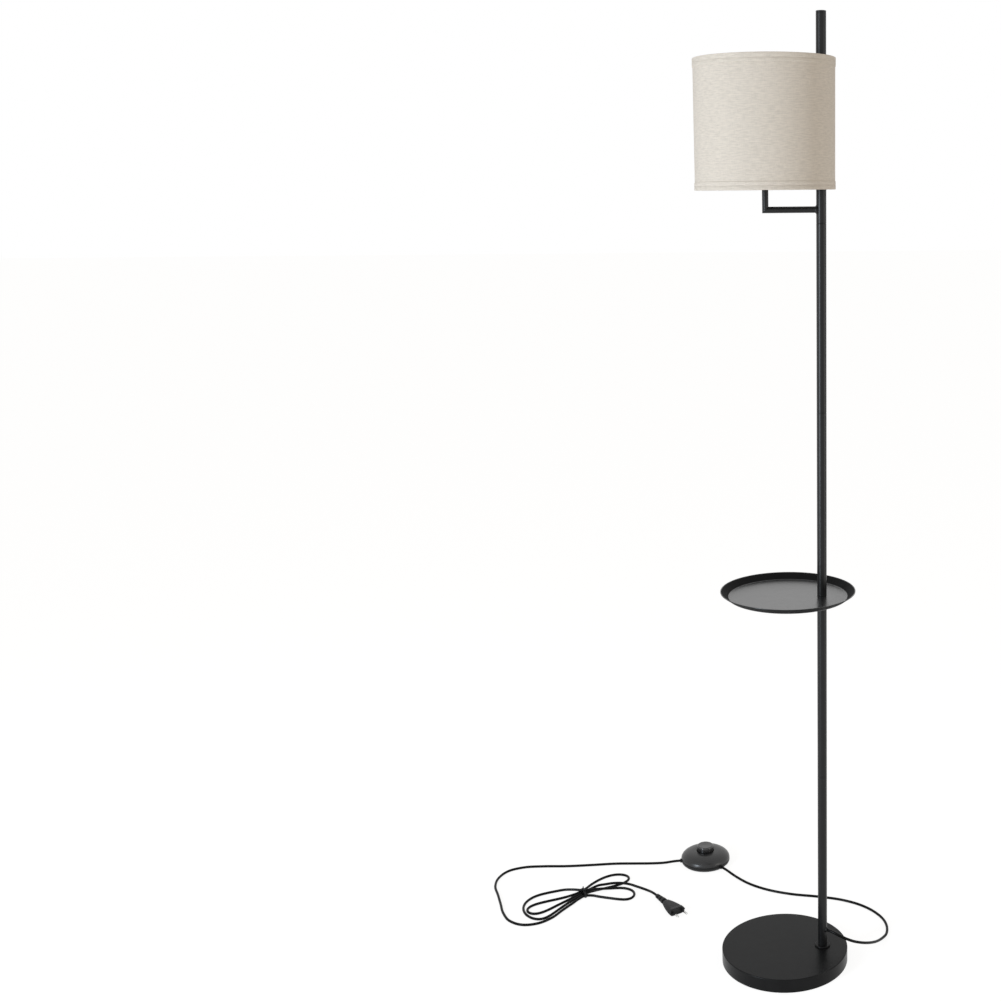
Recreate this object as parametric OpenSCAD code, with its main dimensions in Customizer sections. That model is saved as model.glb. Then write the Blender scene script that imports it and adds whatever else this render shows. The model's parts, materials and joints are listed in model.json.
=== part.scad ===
// Floor lamp with a round table tray, a drum shade on a side arm and a corded foot switch.
// Origin: centre of the base's underside, on the floor. +Z is up, +X points from the
// base's centre towards the pole, and the tray, base and shade all hang over to -X.

/* [Lamp] */
// Height of the lamp from the floor to the top of the pole
lamp_h = 1600; // [1560:5:1650]
// Outer diameter of the pole
pole_d = 16; // [16:0.5:17]
// Distance from the base's axis to the pole's axis
pole_x = 67; // [50:1:80]
// Heights of the joints between the pole's sections, apart from the one at the tray
joint_z = [347.5, 980, 1281];
// Wall of the pole
pole_wall = 1.2; // [1:0.1:1.5]

/* [Base] */
// Diameter of the base
base_d = 222; // [200:1:240]
// Height of the base
base_h = 25; // [22:0.5:32]
// Diameter of the collar round the foot of the pole
collar_d = 27; // [24:0.5:34]
// Height at which the cord leaves the pole
exit_z = 57.7; // [52:0.1:70]
// Direction in which the cord leaves the pole, seen from above
exit_turn = -35; // [-60:1:60]

/* [Tray] */
// Diameter of the tray's rim
tray_d = 226; // [210:1:240]
// Height of the tray's floor above the ground
tray_z = 671; // [600:1:720]
// Depth of the tray
tray_depth = 10.3; // [8:0.1:14]
// Distance from the tray's axis to the pole's axis
tray_offset = 57; // [45:1:80]

/* [Arm and lampholder] */
// Height of the arm's axis
arm_z = 1302.4; // [1300:0.1:1310]
// Distance from the pole's axis to the shade's axis
arm_l = 88; // [84:1:92]
// Diameter of the arm's tube
arm_d = 10; // [10:0.1:10.4]
// Height of the lampholder's underside
holder_z = 1342; // [1341:0.5:1344]
// Diameter of the lampholder's cup
cup_d = 40; // [40:0.5:41]

/* [Shade] */
// Diameter of the fabric
shade_d = 219.6; // [219:0.2:222]
// Height of the shade's lower edge
shade_z = 1333; // [1332:0.5:1335]
// Height of the shade
shade_h = 197; // [190:1:205]
// Width of the folded trim along each edge
trim_w = 13; // [10:0.5:16]

/* [Foot switch and cord] */
// Diameter of the foot switch
switch_d = 98; // [92:1:104]
// Height of the foot switch with its button up
switch_h = 37; // [36:0.5:40]
// Travel of the foot switch's button
button_travel = 4; // [2:0.5:4]
// Diameter of the cord
cord_d = 5; // [5:0.1:5.1]

/* [Hidden] */
$fn = 96;
fit = 0.05;           // radial clearance of a piece that slides or screws into another
pole_r = pole_d / 2;
bore_r = pole_r - pole_wall;
base_r = base_d / 2;
base_sheet = 1;       // sheet of the base's cover
pad_t = 3;            // pad under the base
weight_t = 11;        // plate of the weight
weight_z = base_h - base_sheet - weight_t;
tray_x = pole_x - tray_offset;
tray_sheet = 1.2;
shade_x = pole_x - arm_l;
shade_r = shade_d / 2;
shade_top = shade_z + shade_h;
skin_t = 0.6;         // liner, and the fabric on it
liner_r = shade_r - skin_t;
trim_t = 0.8;
cable_r = cord_d / 2;

// Threaded parts: a hollow stud joins the threaded bushes in two tube ends
stud_r = 5;
stud_bore = 3.6;
bush_l = 14;
stud_l = 12;          // length of stud in each bush

// Pole: where each section starts and ends
section_from = [base_h, joint_z[0], tray_z, joint_z[1], joint_z[2]];
cap_h = 3.6;
section_to = [joint_z[0], tray_z - tray_sheet, joint_z[1], joint_z[2], lamp_h - cap_h];

// Lampholder, measured up from its underside
sleeve_z = holder_z + 24;
sleeve_r = 19;
flange_t = 3;
nut_h = 7;
hub_t = 1.5;          // centre ring of the spider
hub_z = sleeve_z + flange_t;
sleeve_top = sleeve_z + 28;
stub_top = holder_z + 8;
carrier_r = 16.6;
carrier_z = holder_z + 10;
carrier_h = 13;
cap_r = 13.1;         // screw cap of the bulb
contact_h = 5.4;      // height of the contact above its seat in the block
contact_seat = 2;
cap_z = carrier_z + carrier_h - contact_seat + contact_h + 2;
cap_l = 23;
glass_z = cap_z + cap_l;
glass_r = 30;
glass_l = 80;

// Shade frame of wire
wire_r = 1.5;
ring_r = liner_r - skin_t - trim_t - wire_r - 0.1;
ring_low = shade_z + 5.5;
ring_high = shade_top - 5.5;
spoke_turn = [23, 143, 263];
clip_turn = 37;

// Foot switch, measured from its own centre on the floor
switch_at = [-160, 365];
entry_turn = [-48, 190]; // directions of the two cord entries, that of the lamp's side first
screw_turn = [11, 131, 251];
switch_r = switch_d / 2;
entry_z = 7;
entry_l = 2.5;        // boss round each cord entry
rim_z = 9;            // line between base and cover
dome_h = 16;
plateau_r = 21;
button_r = 16.5;
button_low = 19;
button_gap = 0.3;
switch_wall = 2;
module_w = 22;
module_z = 12;
stem_r = 4;
spring_low = module_z + switch_wall;
guide_z = 4;          // floor of the guide for the button's stem
screw_r = 1.45;
screw_out = 34;

// Plug, flat two-pin, with its face at the end of its axis
plug_at = [-202, 154];
plug_turn = -54;
plug_w = 35.3;
plug_t = 13.7;
plug_l = 42;
relief_l = 32;
pin_pitch = 19;

// Hank: lobes on either side of a tie, left and right by turns
floor_gap = 0.1;
lay_z = cable_r + floor_gap;          // height of the cord's axis where it lies
pitch = cord_d + 0.8;                 // from one strand to the next
tie_at = [-390, 232];
tie_turn = 25;
tie_t = 1.1;
tie_w = 3.5;
tie_gap = 0.4;
tie_low = [-11.6, 10.5]; // outer strands in the tie: on the floor, and on top of them
tie_high = [0.3, 2.4];
lobe_side = [-1, 1, -1, 1, -1, 1];
lobe_reach = [170, 99.5, 125.5, 104, 118, 120];
lobe_width = [0, 21.5, 38, 19.5, 16.5, 0];
lobe_tilt = [48, -29, 16, 16.5, 10.7, 8]; // direction of the lobe's tip
lobe_bend = [29, -24, 27, -3, 0, 0];     // how far the tip turns from the root
lobe_full = [1.2, 1.2, 1.2, 1.2, 2.2, 1.2]; // how round the lobe's tip is
lobe_from = [158, 0, 0, 0, 0, 0];
lobe_to = [180, 180, 180, 180, 180, 16];
rings_per_lobe = 24;
// Where each pass of the cord goes through the tie, and where it lies just beside it
pass_mid = [-1.12, -0.48, -0.6, 1.2, 0.56] * pitch;
pass_left = [-2.37, 1.54, -1.1, 1.06, -0.23] * pitch;
pass_right = [-2.15, -1.23, 0.27, 2.14, 0.73] * pitch;

// Routes of the free cord, point by point
exit_dir = [cos(exit_turn), sin(exit_turn), 0];
exit_at = [pole_x, 0, exit_z] + (pole_r + 3) * exit_dir;
switch_mid = [switch_at[0], switch_at[1], entry_z];
entry_dir = [for (turn = entry_turn) [cos(turn), sin(turn), 0]];
switch_in = switch_mid + (switch_r + entry_l) * entry_dir[0];
switch_out = switch_mid + (switch_r + entry_l) * entry_dir[1];
plug_dir = [cos(plug_turn), sin(plug_turn), 0];
plug_in = [plug_at[0], plug_at[1], plug_t / 2] - (plug_l + relief_l) * plug_dir;
lead_route = [
    exit_at, exit_at + 6 * exit_dir, [93.8, -17, 54.4], [107.4, -19.2, 48.4], [120.5, -16.7, 41.8],
    [132.3, -10, 35.4], [142.3, -1, 29.2], [151, 9.5, 23.2], [158.5, 21, 17.4], [165.4, 32.8, 12.2],
    [172, 45, 8], [178.4, 57.4, 5], [185, 71, 3.2], [189, 93, lay_z],
    [186, 121, lay_z], [171, 152, lay_z], [146, 179, lay_z], [110, 200, lay_z], [66, 213, lay_z],
    [13, 224, lay_z], [-35, 243, lay_z], [-70, 267, 2.8], [-97, 295, 3.8],
    switch_in + 9 * entry_dir[0], switch_in];
main_route = [
    switch_out, switch_out + 9 * entry_dir[1], [-244, 353, 4.2], [-268, 353.5, 2.9],
    [-300, 354, lay_z], [-340, 354, lay_z], [-390, 349, lay_z], [-440, 345, lay_z],
    [-488, 345, lay_z], [-526, 341, lay_z], [-554, 326, lay_z], [-568, 298, lay_z],
    [-568, 264, lay_z], [-556, 230, lay_z], [-544, 195, lay_z], [-532, 160, lay_z],
    [-513, 130, lay_z], [-488, 117, lay_z], [-460, 122, lay_z], [-438, 141, lay_z]];
tail_route = [
    [-351, 257.3, lay_z + pitch + 0.3], [-335.8, 261.7, lay_z + pitch + 0.3],
    [-320, 262, lay_z + pitch + 0.2], [-304, 259.5, lay_z + 4.8], [-288, 254.5, lay_z + 2],
    [-271.5, 246.5, lay_z + 0.3]];

// ---- Helpers ----

module tube(r, bore, h) {
    difference() {
        cylinder(r = r, h = h);
        translate([0, 0, -1]) cylinder(r = bore, h = h + 2);
    }
}

module at_pole(z = 0) {
    translate([pole_x, 0, z]) children();
}

module at_shade(z = 0) {
    translate([shade_x, 0, z]) children();
}

module at_switch(z = 0) {
    translate([switch_at[0], switch_at[1], z]) children();
}

module at_plug() {
    translate([plug_at[0], plug_at[1], plug_t / 2]) rotate(plug_turn) rotate([0, 90, 0]) rotate(90)
        children();
}

function unit(v) = v / norm(v);
function last(list) = len(list) - 1;

// Points of an arc of a circle, for the profile of a revolved piece
function arc(centre, r, from, to, steps = 6) =
    [for (i = [0:steps]) centre + r * [cos(from + (to - from) * i / steps), sin(from + (to - from) * i / steps)]];

// A point on the smooth curve through a route, a fraction t past point i
function on_curve(p, i, t) =
    let (before = i > 0 ? p[i - 1] : 2 * p[0] - p[1],
         after = i < last(p) - 1 ? p[i + 2] : 2 * p[i + 1] - p[i])
    0.5 * (2 * p[i] + (p[i + 1] - before) * t
        + (2 * before - 5 * p[i] + 4 * p[i + 1] - after) * t * t
        + (3 * p[i] - before - 3 * p[i + 1] + after) * t * t * t);

function curve(p, steps) =
    concat([for (i = [0:last(p) - 1]) for (k = [0:steps - 1]) on_curve(p, i, k / steps)], [p[last(p)]]);

function heading(p, i) = unit(p[min(i + 1, last(p))] - p[max(i - 1, 0)]);

// Closed skin over rings of points, as triangles
module skin(points, sides) {
    rings = len(points) / sides;
    end = (rings - 1) * sides;
    walls = [for (i = [0:rings - 2]) for (k = [0:sides - 1])
        let (a = i * sides + k, b = i * sides + (k + 1) % sides)
        each [[a, b, b + sides], [a, b + sides, a + sides]]];
    caps = [for (k = [1:sides - 2]) each [[0, k + 1, k], [end, end + k, end + k + 1]]];
    polyhedron(points, concat(walls, caps));
}

// Tube swept along points, with its ends square to the directions given
module cord(p, sides, first, final) {
    points = [for (i = [0:last(p)])
        let (t = i == 0 ? first : i == last(p) ? final : heading(p, i),
             s = unit(cross(t, [0, 0, 1])), u = cross(s, t))
        for (k = [0:sides - 1])
            p[i] + cable_r * (cos(360 * k / sides) * s + sin(360 * k / sides) * u)];
    skin(points, sides);
}

// ---- Base ----

module base_cover() {
    edge = 1.6;
    color("#26272a") difference() {
        rotate_extrude() polygon(concat(
            [[0, base_h - base_sheet]],
            [[base_r - edge, base_h - base_sheet], [base_r - base_sheet, base_h - edge],
             [base_r - base_sheet, 1], [base_r, 1]],
            arc([base_r - edge, base_h - edge], edge, 0, 90), [[0, base_h]]));
        at_pole() cylinder(r = stud_r + fit, h = base_h + 1);
    }
}

module base_weight() {
    weight_r = base_r - base_sheet - 0.5;
    ring_w = 11;
    recess_r = 15;
    color("#4b4d50") difference() {
        translate([0, 0, pad_t]) cylinder(r = weight_r, h = base_h - base_sheet - pad_t);
        difference() {
            translate([0, 0, pad_t - 1]) cylinder(r = weight_r - ring_w, h = weight_z - pad_t + 1);
            for (turn = [30:60:330]) rotate(turn)
                translate([20, -3, 0]) cube([base_r, 6, base_h]);
        }
        translate([0, 0, base_h - base_sheet - 1.6]) difference() {
            cylinder(r = base_r, h = 3);
            translate([0, 0, -1]) cylinder(r1 = weight_r + 1, r2 = weight_r - 2, h = 3);
        }
        at_pole(pad_t - 1) cylinder(r = recess_r, h = weight_z - pad_t + 1);
        at_pole() cylinder(r = stud_r + fit, h = base_h + 1);
    }
}

module base_pad() {
    color("#3a3a3a") cylinder(r = base_r - base_sheet - 1.5, h = pad_t);
}

module base_stud() {
    color("#b9b9b4") at_pole(pad_t + 2) tube(stud_r, stud_bore, base_h + stud_l - pad_t - 2);
}

module base_washer() {
    color("#b9b9b4") at_pole(weight_z - 1.5) tube(12, stud_r + fit, 1.5);
}

module base_nut() {
    nut_t = 4.5;
    color("#b9b9b4") at_pole(weight_z - 1.5 - nut_t) difference() {
        cylinder(d = 19, h = nut_t, $fn = 6);
        translate([0, 0, -1]) cylinder(r = stud_r + fit, h = nut_t + 2);
    }
}

module pole_collar() {
    collar_h = 3.2;
    lip = 1.4;
    color("#26272a") at_pole(base_h) rotate_extrude() polygon(concat(
        [[pole_r + fit, 0], [collar_d / 2, 0]],
        arc([collar_d / 2 - lip, collar_h - lip], lip, 0, 90), [[pole_r + fit, collar_h]]));
}

// ---- Pole ----

// Tube with chamfered ends, which show as a fine line at each joint
module pole_section(n) {
    l = section_to[n] - section_from[n];
    edge = 0.4;
    color("#222326") difference() {
        at_pole(section_from[n]) rotate_extrude() polygon([
            [bore_r, 0], [pole_r - edge, 0], [pole_r, edge], [pole_r, l - edge],
            [pole_r - edge, l], [bore_r, l]]);
        if (n == 0)
            at_pole(exit_z) rotate(exit_turn) rotate([0, 90, 0]) cylinder(r = 4 + fit, h = pole_d);
        if (n == 4)
            at_pole(arm_z) rotate([0, -90, 0]) cylinder(r = arm_d / 2 - 1.2, h = pole_d);
    }
}

// One bush in each tube end that a stud screws into, set back a little from the end
module pole_bushes() {
    set_back = 0.2;
    color("#a9a9a4") {
        at_pole(base_h) tube(bore_r - fit, stud_r + fit, bush_l);
        for (n = [0:3]) {
            at_pole(section_to[n] - bush_l - set_back) tube(bore_r - fit, stud_r + fit, bush_l);
            at_pole(section_from[n + 1] + set_back) tube(bore_r - fit, stud_r + fit, bush_l);
        }
    }
}

module pole_stud(n) {
    color("#b9b9b4") at_pole(section_to[n] - stud_l)
        tube(stud_r, stud_bore, 2 * stud_l + section_from[n + 1] - section_to[n]);
}

module top_cap() {
    rim = 0.9;
    plug_h = 9;
    color("#222326") at_pole(lamp_h - cap_h) {
        rotate_extrude() polygon(concat(
            [[0, 0], [pole_r - 0.4, 0], [pole_r, 0.4]],
            arc([pole_r - rim, cap_h - rim - 0.5], rim, 0, 70), [[0, cap_h]]));
        translate([0, 0, -plug_h]) cylinder(r = bore_r - fit, h = plug_h);
    }
}

module cord_bush() {
    flange_r = 5.2;
    hole_r = 4;
    color("#1b1b1d") difference() {
        at_pole(exit_z) rotate(exit_turn) rotate([0, 90, 0]) {
            cylinder(r = hole_r, h = pole_r + 1);
            translate([0, 0, pole_r - 0.6]) cylinder(r1 = flange_r, r2 = flange_r - 1.4, h = 3.6);
        }
        difference() {
            at_pole(exit_z - 20) cylinder(r = pole_r, h = 40);
            at_pole(exit_z) rotate(exit_turn) rotate([0, 90, 0]) cylinder(r = hole_r, h = pole_d);
        }
        at_pole(exit_z - 20) cylinder(r = bore_r - 0.5, h = 40);
        at_pole(exit_z) rotate(exit_turn) rotate([0, 90, 0]) cylinder(r = cable_r + fit, h = pole_d);
    }
}

// ---- Tray ----

module tray() {
    floor_r = 98;
    bend = 4;
    slope = 36;
    rim_r = tray_d / 2;
    lip = tray_sheet / 2;
    up = tray_depth - lip;
    color("#303134") difference() {
        translate([tray_x, 0, tray_z - tray_sheet]) rotate_extrude() polygon(concat(
            [[0, 0], [floor_r, 0]],
            arc([floor_r, bend + tray_sheet], bend + tray_sheet, -90, -slope),
            [[rim_r, up]],
            arc([rim_r - lip, up + lip], lip, -30, 150),
            [[rim_r - tray_sheet - 0.6, up]],
            arc([floor_r, bend + tray_sheet], bend, -slope, -90),
            [[0, tray_sheet]]));
        at_pole(tray_z - 5) cylinder(r = stud_r + fit, h = 10);
    }
}

// ---- Arm and lampholder ----

// Round bar that runs from the pole to the shade's axis and turns up there in a mitre
module elbow(r) {
    size = 2 * arm_l;
    back = 2 * arm_d;
    at_shade(arm_z) {
        intersection() {
            translate([-back, 0, 0]) rotate([0, 90, 0]) cylinder(r = r, h = arm_l + back);
            rotate([0, 45, 0]) translate([0, -back, -size]) cube([size, 2 * back, 2 * size]);
        }
        intersection() {
            translate([0, 0, -back]) cylinder(r = r, h = stub_top - arm_z + back);
            rotate([0, 45, 0]) translate([-size, -back, -size]) cube([size, 2 * back, 2 * size]);
        }
    }
}

module arm() {
    weld = 2.6;
    color("#222326") difference() {
        union() {
            elbow(arm_d / 2);
            translate([pole_x - pole_r - weld, 0, arm_z]) rotate([0, 90, 0]) rotate_extrude()
                polygon(concat([[0, 0]], arc([arm_d / 2 + weld, 0], weld, 180, 90),
                    [[arm_d / 2 + weld, weld + 2], [0, weld + 2]]));
        }
        elbow(arm_d / 2 - 1.2);
        at_pole(arm_z - 30) cylinder(r = pole_r + 0.02, h = 60);
        translate([shade_x, 0, arm_z]) rotate([0, 90, 0]) cylinder(r = arm_d / 2 - 1.2, h = arm_l);
    }
}

// Lead inside the lamp, from the lampholder down to the bush at the foot of the pole.
// The straight runs reach a little way over the bends, which are a touch thinner.
module inner_cable() {
    bend = 7;
    turn_r = 4.5;
    over = 0.3;
    top = carrier_z - 1;
    module run(l, first = over, final = over) {
        translate([0, 0, -first]) cylinder(r = cable_r, h = l + first + final);
    }
    module quarter(r) {
        rotate([90, 0, 0]) rotate(180) rotate_extrude(angle = 90)
            translate([r, 0]) circle(r = cable_r - 0.03);
    }
    color("#e8e6df") {
        at_shade(arm_z + turn_r) run(top - arm_z - turn_r, over, 0);
        translate([shade_x + turn_r, 0, arm_z + turn_r]) quarter(turn_r);
        translate([shade_x + turn_r, 0, arm_z]) rotate([0, 90, 0]) run(arm_l - 2 * turn_r);
        translate([pole_x - turn_r, 0, arm_z - turn_r]) rotate([0, 180, 0]) quarter(turn_r);
        at_pole(exit_z + bend) run(arm_z - turn_r - exit_z - bend);
        at_pole(exit_z) rotate(exit_turn) translate([bend, 0, 0]) {
            translate([0, 0, bend]) quarter(bend);
            rotate([0, 90, 0]) run(pole_r + 3 - bend, over, 0);
        }
    }
}

module holder_nut() {
    color("#1f2022") at_shade(holder_z - 5) difference() {
        cylinder(r = 7, h = 5);
        translate([0, 0, -1]) cylinder(r = arm_d / 2 + fit, h = 7);
        for (turn = [0:30:330]) rotate(turn) translate([7.3, 0, -1]) cylinder(r = 0.8, h = 7);
    }
}

module holder_cup() {
    shoulder = 6;
    wall = 1.8;
    r = cup_d / 2;
    color("#1d1d1f") at_shade(holder_z) rotate_extrude() polygon(concat(
        [[arm_d / 2 + fit, 0], [r - shoulder, 0]],
        arc([r - shoulder, shoulder], shoulder, -90, 0),
        [[r, sleeve_z - holder_z], [r - wall, sleeve_z - holder_z]],
        arc([r - shoulder, shoulder], shoulder - wall, 0, -90),
        [[9, wall], [9, 8], [arm_d / 2 + fit, 8]]));
}

// Insulating block that carries the contacts, with two cord channels and screw pockets
module holder_carrier() {
    color("#e9e4d6") at_shade(carrier_z) difference() {
        union() {
            cylinder(r = carrier_r - 1.2, h = carrier_h);
            translate([0, 0, carrier_h - 3]) cylinder(r = carrier_r, h = 3);
        }
        for (side = [-1, 1]) {
            translate([side * 9, 0, -1]) cylinder(r = 2.6, h = 8);
            translate([side * 16, 0, 4]) cube([8, 7, 5], center = true);
        }
        translate([0, 0, carrier_h - contact_seat]) cylinder(r = 6, h = contact_seat + 1);
    }
}

module holder_shell() {
    turns = 5;
    rise = 3.6;
    depth = 0.5;
    outer = cap_r + 1.1;
    low = carrier_z + carrier_h;
    thread = [for (i = [0:turns * 4])
        [outer - 0.6 - depth * (1 - cos(90 * i)) / 2, 1 + i * rise / 4]];
    color("#c9a24a") at_shade(low) rotate_extrude() polygon(concat(
        [[10, 0], [outer, 0], [outer, 1 + turns * rise]],
        [for (i = [last(thread):-1:0]) thread[i]], [[10, 1]]));
}

module holder_contact() {
    button = 1.4;
    color("#c9a24a") at_shade(carrier_z + carrier_h - contact_seat) {
        cylinder(r = 2.4, h = contact_h - button);
        translate([0, 0, contact_h - button]) cylinder(r1 = 3.4, r2 = 2.2, h = button);
    }
}

module holder_terminals() {
    color("#c9a24a") at_shade(carrier_z) for (side = [-1, 1])
        translate([side * 14, 0, 4]) {
            cube([3.6, 6.4, 4.6], center = true);
            translate([side * 1.8, 0, 0]) rotate([0, side * 90, 0]) difference() {
                cylinder(r = 2, h = 1.6);
                translate([-3, -0.35, 1]) cube([6, 0.7, 1]);
            }
        }
}

// Outer sleeve of the lampholder: a flange on the cup, ribs that stand for its thread
module holder_sleeve() {
    inner = 16.8;
    pitch_z = 2.5;
    start = flange_t + hub_t + nut_h;
    ribs = [for (i = [0:8]) [sleeve_r - (i % 2) * 0.7, start + i * pitch_z / 2]];
    color("#1d1d1f") at_shade(sleeve_z) rotate_extrude() polygon(concat(
        [[inner, 0], [cup_d / 2 + 0.6, 0], [cup_d / 2 + 0.6, flange_t], [sleeve_r, flange_t]],
        ribs,
        [[sleeve_r - 0.8, sleeve_top - sleeve_z - 1], [sleeve_r - 1.6, sleeve_top - sleeve_z],
         [15.2, sleeve_top - sleeve_z], [15.2, sleeve_top - sleeve_z - 1.5],
         [inner, sleeve_top - sleeve_z - 3]]));
}

module shade_nut() {
    rim_r = 25;
    color("#1d1d1f") at_shade(hub_z + hub_t) difference() {
        union() {
            cylinder(r = rim_r - 2, h = nut_h);
            cylinder(r = rim_r, h = 2);
        }
        translate([0, 0, -1]) cylinder(r = sleeve_r + fit, h = nut_h + 2);
        for (turn = [0:15:345]) rotate(turn) translate([rim_r - 1.2, 0, 2]) cylinder(r = 1, h = nut_h);
    }
}

module bulb_glass() {
    ball_z = glass_l - glass_r;
    neck_r = 13.6;
    wall = 0.8;
    neck = [[neck_r, 0], [neck_r + 0.6, 8], [17.6, 20], [23, 32]];
    color("#f3f1ea", 0.8) at_shade(glass_z) rotate_extrude() difference() {
        polygon(concat([[0, 0]], neck, arc([0, ball_z], glass_r, -36, 90, 14)));
        polygon(concat([[0, 2]], [for (p = neck) [p[0] - wall, max(2, p[1])]],
            arc([0, ball_z], glass_r - wall, -36, 90, 14)));
    }
}

module bulb_cap() {
    rise = 3.6;
    thread = [for (i = [0:4 * 5])
        [cap_r - 0.7 * (1 - cos(90 * i)) / 2, 2 + i * rise / 4]];
    color("#c8c8c6") at_shade(cap_z) rotate_extrude() polygon(concat(
        [[0, 0], [6, 0], [10, 1.2]], thread, [[cap_r - 0.2, cap_l], [0, cap_l]]));
}

module bulb_tip() {
    color("#c9a24a") at_shade(cap_z - 2) {
        cylinder(r1 = 3.6, r2 = 4.8, h = 2);
    }
}

// ---- Shade ----

module drum(r, t, low, high) {
    at_shade(low) tube(r, r - t, high - low);
}

module shade_liner() {
    color("#f4f2ec") drum(liner_r, skin_t, shade_z + trim_t, shade_top - trim_t);
}

module shade_fabric() {
    color("#d9cfc0") drum(shade_r, skin_t, shade_z + trim_t, shade_top - trim_t);
}

// Tape folded over an edge of the drum
module trim() {
    out = shade_r + trim_t;
    in = liner_r - skin_t - trim_t;
    soft = 0.4;
    color("#d9cfc0") rotate_extrude() polygon([
        [in + soft, 0], [out - soft, 0], [out, soft], [out, trim_w], [shade_r, trim_w],
        [shade_r, trim_t], [in + trim_t, trim_t], [in + trim_t, trim_w - 2], [in, trim_w - 2],
        [in, soft]]);
}

module shade_trim_bottom() {
    at_shade(shade_z) trim();
}

module shade_trim_top() {
    at_shade(shade_top) mirror([0, 0, 1]) trim();
}

module wire_ring(z) {
    at_shade(z) rotate_extrude() translate([ring_r, 0]) circle(r = wire_r, $fn = 24);
}

module shade_ring() {
    color("#ececea") wire_ring(ring_high);
}

// Lower ring, three spokes that rise to the lampholder, and the centre ring
module shade_spider() {
    hub_r = 24.6;
    hub_edge = hub_r - 1;
    spoke_r = wire_r - 0.2;
    rise = hub_z - 0.1 - ring_low;
    run = ring_r - hub_edge;
    color("#ececea") {
        wire_ring(ring_low);
        at_shade(hub_z) tube(hub_r, sleeve_r + 0.2, hub_t);
        for (turn = spoke_turn) at_shade(ring_low) rotate(turn)
            translate([ring_r, 0, 0]) rotate([0, -atan2(run, rise), 0])
                cylinder(r = spoke_r, h = norm([run, rise]));
    }
}

// Small clips that hold the lower ring in the folded edge
module shade_clips() {
    w = 7;
    color("#f2f2f0") at_shade(ring_low) for (k = [0:5]) rotate(clip_turn + 60 * k)
        translate([ring_r, 0, 0]) rotate([90, 0, 0]) translate([0, 0, -w / 2])
            linear_extrude(w) difference() {
                union() {
                    circle(r = wire_r + 1.1, $fn = 24);
                    translate([-wire_r - 1.1, 0]) square([2 * wire_r + 1.1, 6]);
                }
                circle(r = wire_r + 0.15, $fn = 24);
                translate([-wire_r + 0.3, wire_r + 0.4]) square([6, 8]);
                translate([wire_r - 0.05, -10]) square([10, 20]);
            }
}

// ---- Free cord ----

function ease(x) = let (t = min(max(x, 0), 1)) t * t * (3 - 2 * t);

// Height above its resting place of pass k, at a distance u from the tie
function lift(k, side, u) =
    (k == 1 ? 1 - ease((u - 20) / (side < 0 ? 32 : 38)) : 0)
    + (k == 4 && side > 0 ? ease((u - 8) / 18) : 0);

// A point of lobe j at angle a, in the tie's own frame
function lobe(j, a) =
    let (s = sin(a), c = cos(a), side = lobe_side[j], p = lobe_full[j],
         tilt = lobe_tilt[j] + lobe_bend[j] * (s - 1),
         x = lobe_reach[j] * s,
         y = -lobe_width[j] * pow(s, p) * c * pow((1 + p) / p, p / 2) * sqrt(1 + p),
         across = x * sin(tilt) + y * cos(tilt),
         u = x * cos(tilt) - y * sin(tilt),
         k = a > 90 ? j : j - 1,
         beside = side > 0 ? pass_right[k] : pass_left[k],
         shift = (pass_mid[k] + (beside - pass_mid[k]) * ease(u / 25)) * c * c,
         raised = (tie_gap + tie_t - floor_gap) * (1 - ease((u - 4) / 26)))
    [side * u, side * across + shift, lay_z + pitch * lift(k, side, u) + raised];

hank_raw = [for (j = [0:5])
    let (steps = j == 0 ? 4 : j == 5 ? 3 : rings_per_lobe)
    for (i = [0:steps - (j == 5 ? 0 : 1)])
        lobe(j, lobe_from[j] + (lobe_to[j] - lobe_from[j]) * i / steps)];

// The hank's rings, evened out once so that no bend is sharp
hank_local = [for (i = [0:last(hank_raw)])
    i == 0 || i == last(hank_raw) ? hank_raw[i]
        : (hank_raw[i - 1] + 2 * hank_raw[i] + hank_raw[i + 1]) / 4];

hank = [for (p = hank_local) [
    tie_at[0] + p[0] * cos(tie_turn) - p[1] * sin(tie_turn),
    tie_at[1] + p[0] * sin(tie_turn) + p[1] * cos(tie_turn), p[2]]];

hank_first = heading(hank, 0);
hank_final = heading(hank, last(hank));

// Least gap of the hank's cord to itself, between points more than 30 mm apart along it
hank_fine = curve(hank, 3);
reach_to = [for (i = 0, run = 0; i <= last(hank_fine);
    run = run + (i < last(hank_fine) ? norm(hank_fine[i + 1] - hank_fine[i]) : 0), i = i + 1) run];
hank_gap = min([for (i = [0:last(hank_fine)]) for (k = [i + 1:1:last(hank_fine)])
    if (reach_to[k] - reach_to[i] > 30) norm(hank_fine[k] - hank_fine[i])]) - cord_d;
echo(hank_length = reach_to[last(reach_to)], hank_least_gap = hank_gap);

module cord_to_switch() {
    color("#1a1a1b") cord(curve(lead_route, 2), 8, exit_dir, -entry_dir[0]);
}

module cord_to_hank() {
    color("#1a1a1b") cord(curve(concat(main_route, [hank[0]]), 2), 8, entry_dir[1], hank_first);
}

module cord_hank() {
    color("#1a1a1b") cord(hank, 6, hank_first, hank_final);
}

module cord_tail() {
    ends = [plug_in - 9 * plug_dir, plug_in];
    color("#1a1a1b") cord(curve(concat([hank[last(hank)]], tail_route, ends), 2), 8,
        hank_final, plug_dir);
}

// Band round the five strands at the waist of the hank
module cord_tie() {
    low = cable_r + tie_gap + tie_t;
    module strands(grow) {
        hull() {
            for (across = tie_low) translate([across, low]) circle(r = cable_r + grow, $fn = 32);
            for (across = tie_high) translate([across, low + pitch])
                circle(r = cable_r + grow, $fn = 32);
        }
    }
    color("#141415") translate([tie_at[0], tie_at[1], 0]) rotate(tie_turn) rotate([90, 0, 90])
        translate([0, 0, -tie_w / 2]) linear_extrude(tie_w) difference() {
            strands(tie_gap + tie_t);
            strands(tie_gap);
        }
}

// ---- Foot switch ----

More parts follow.
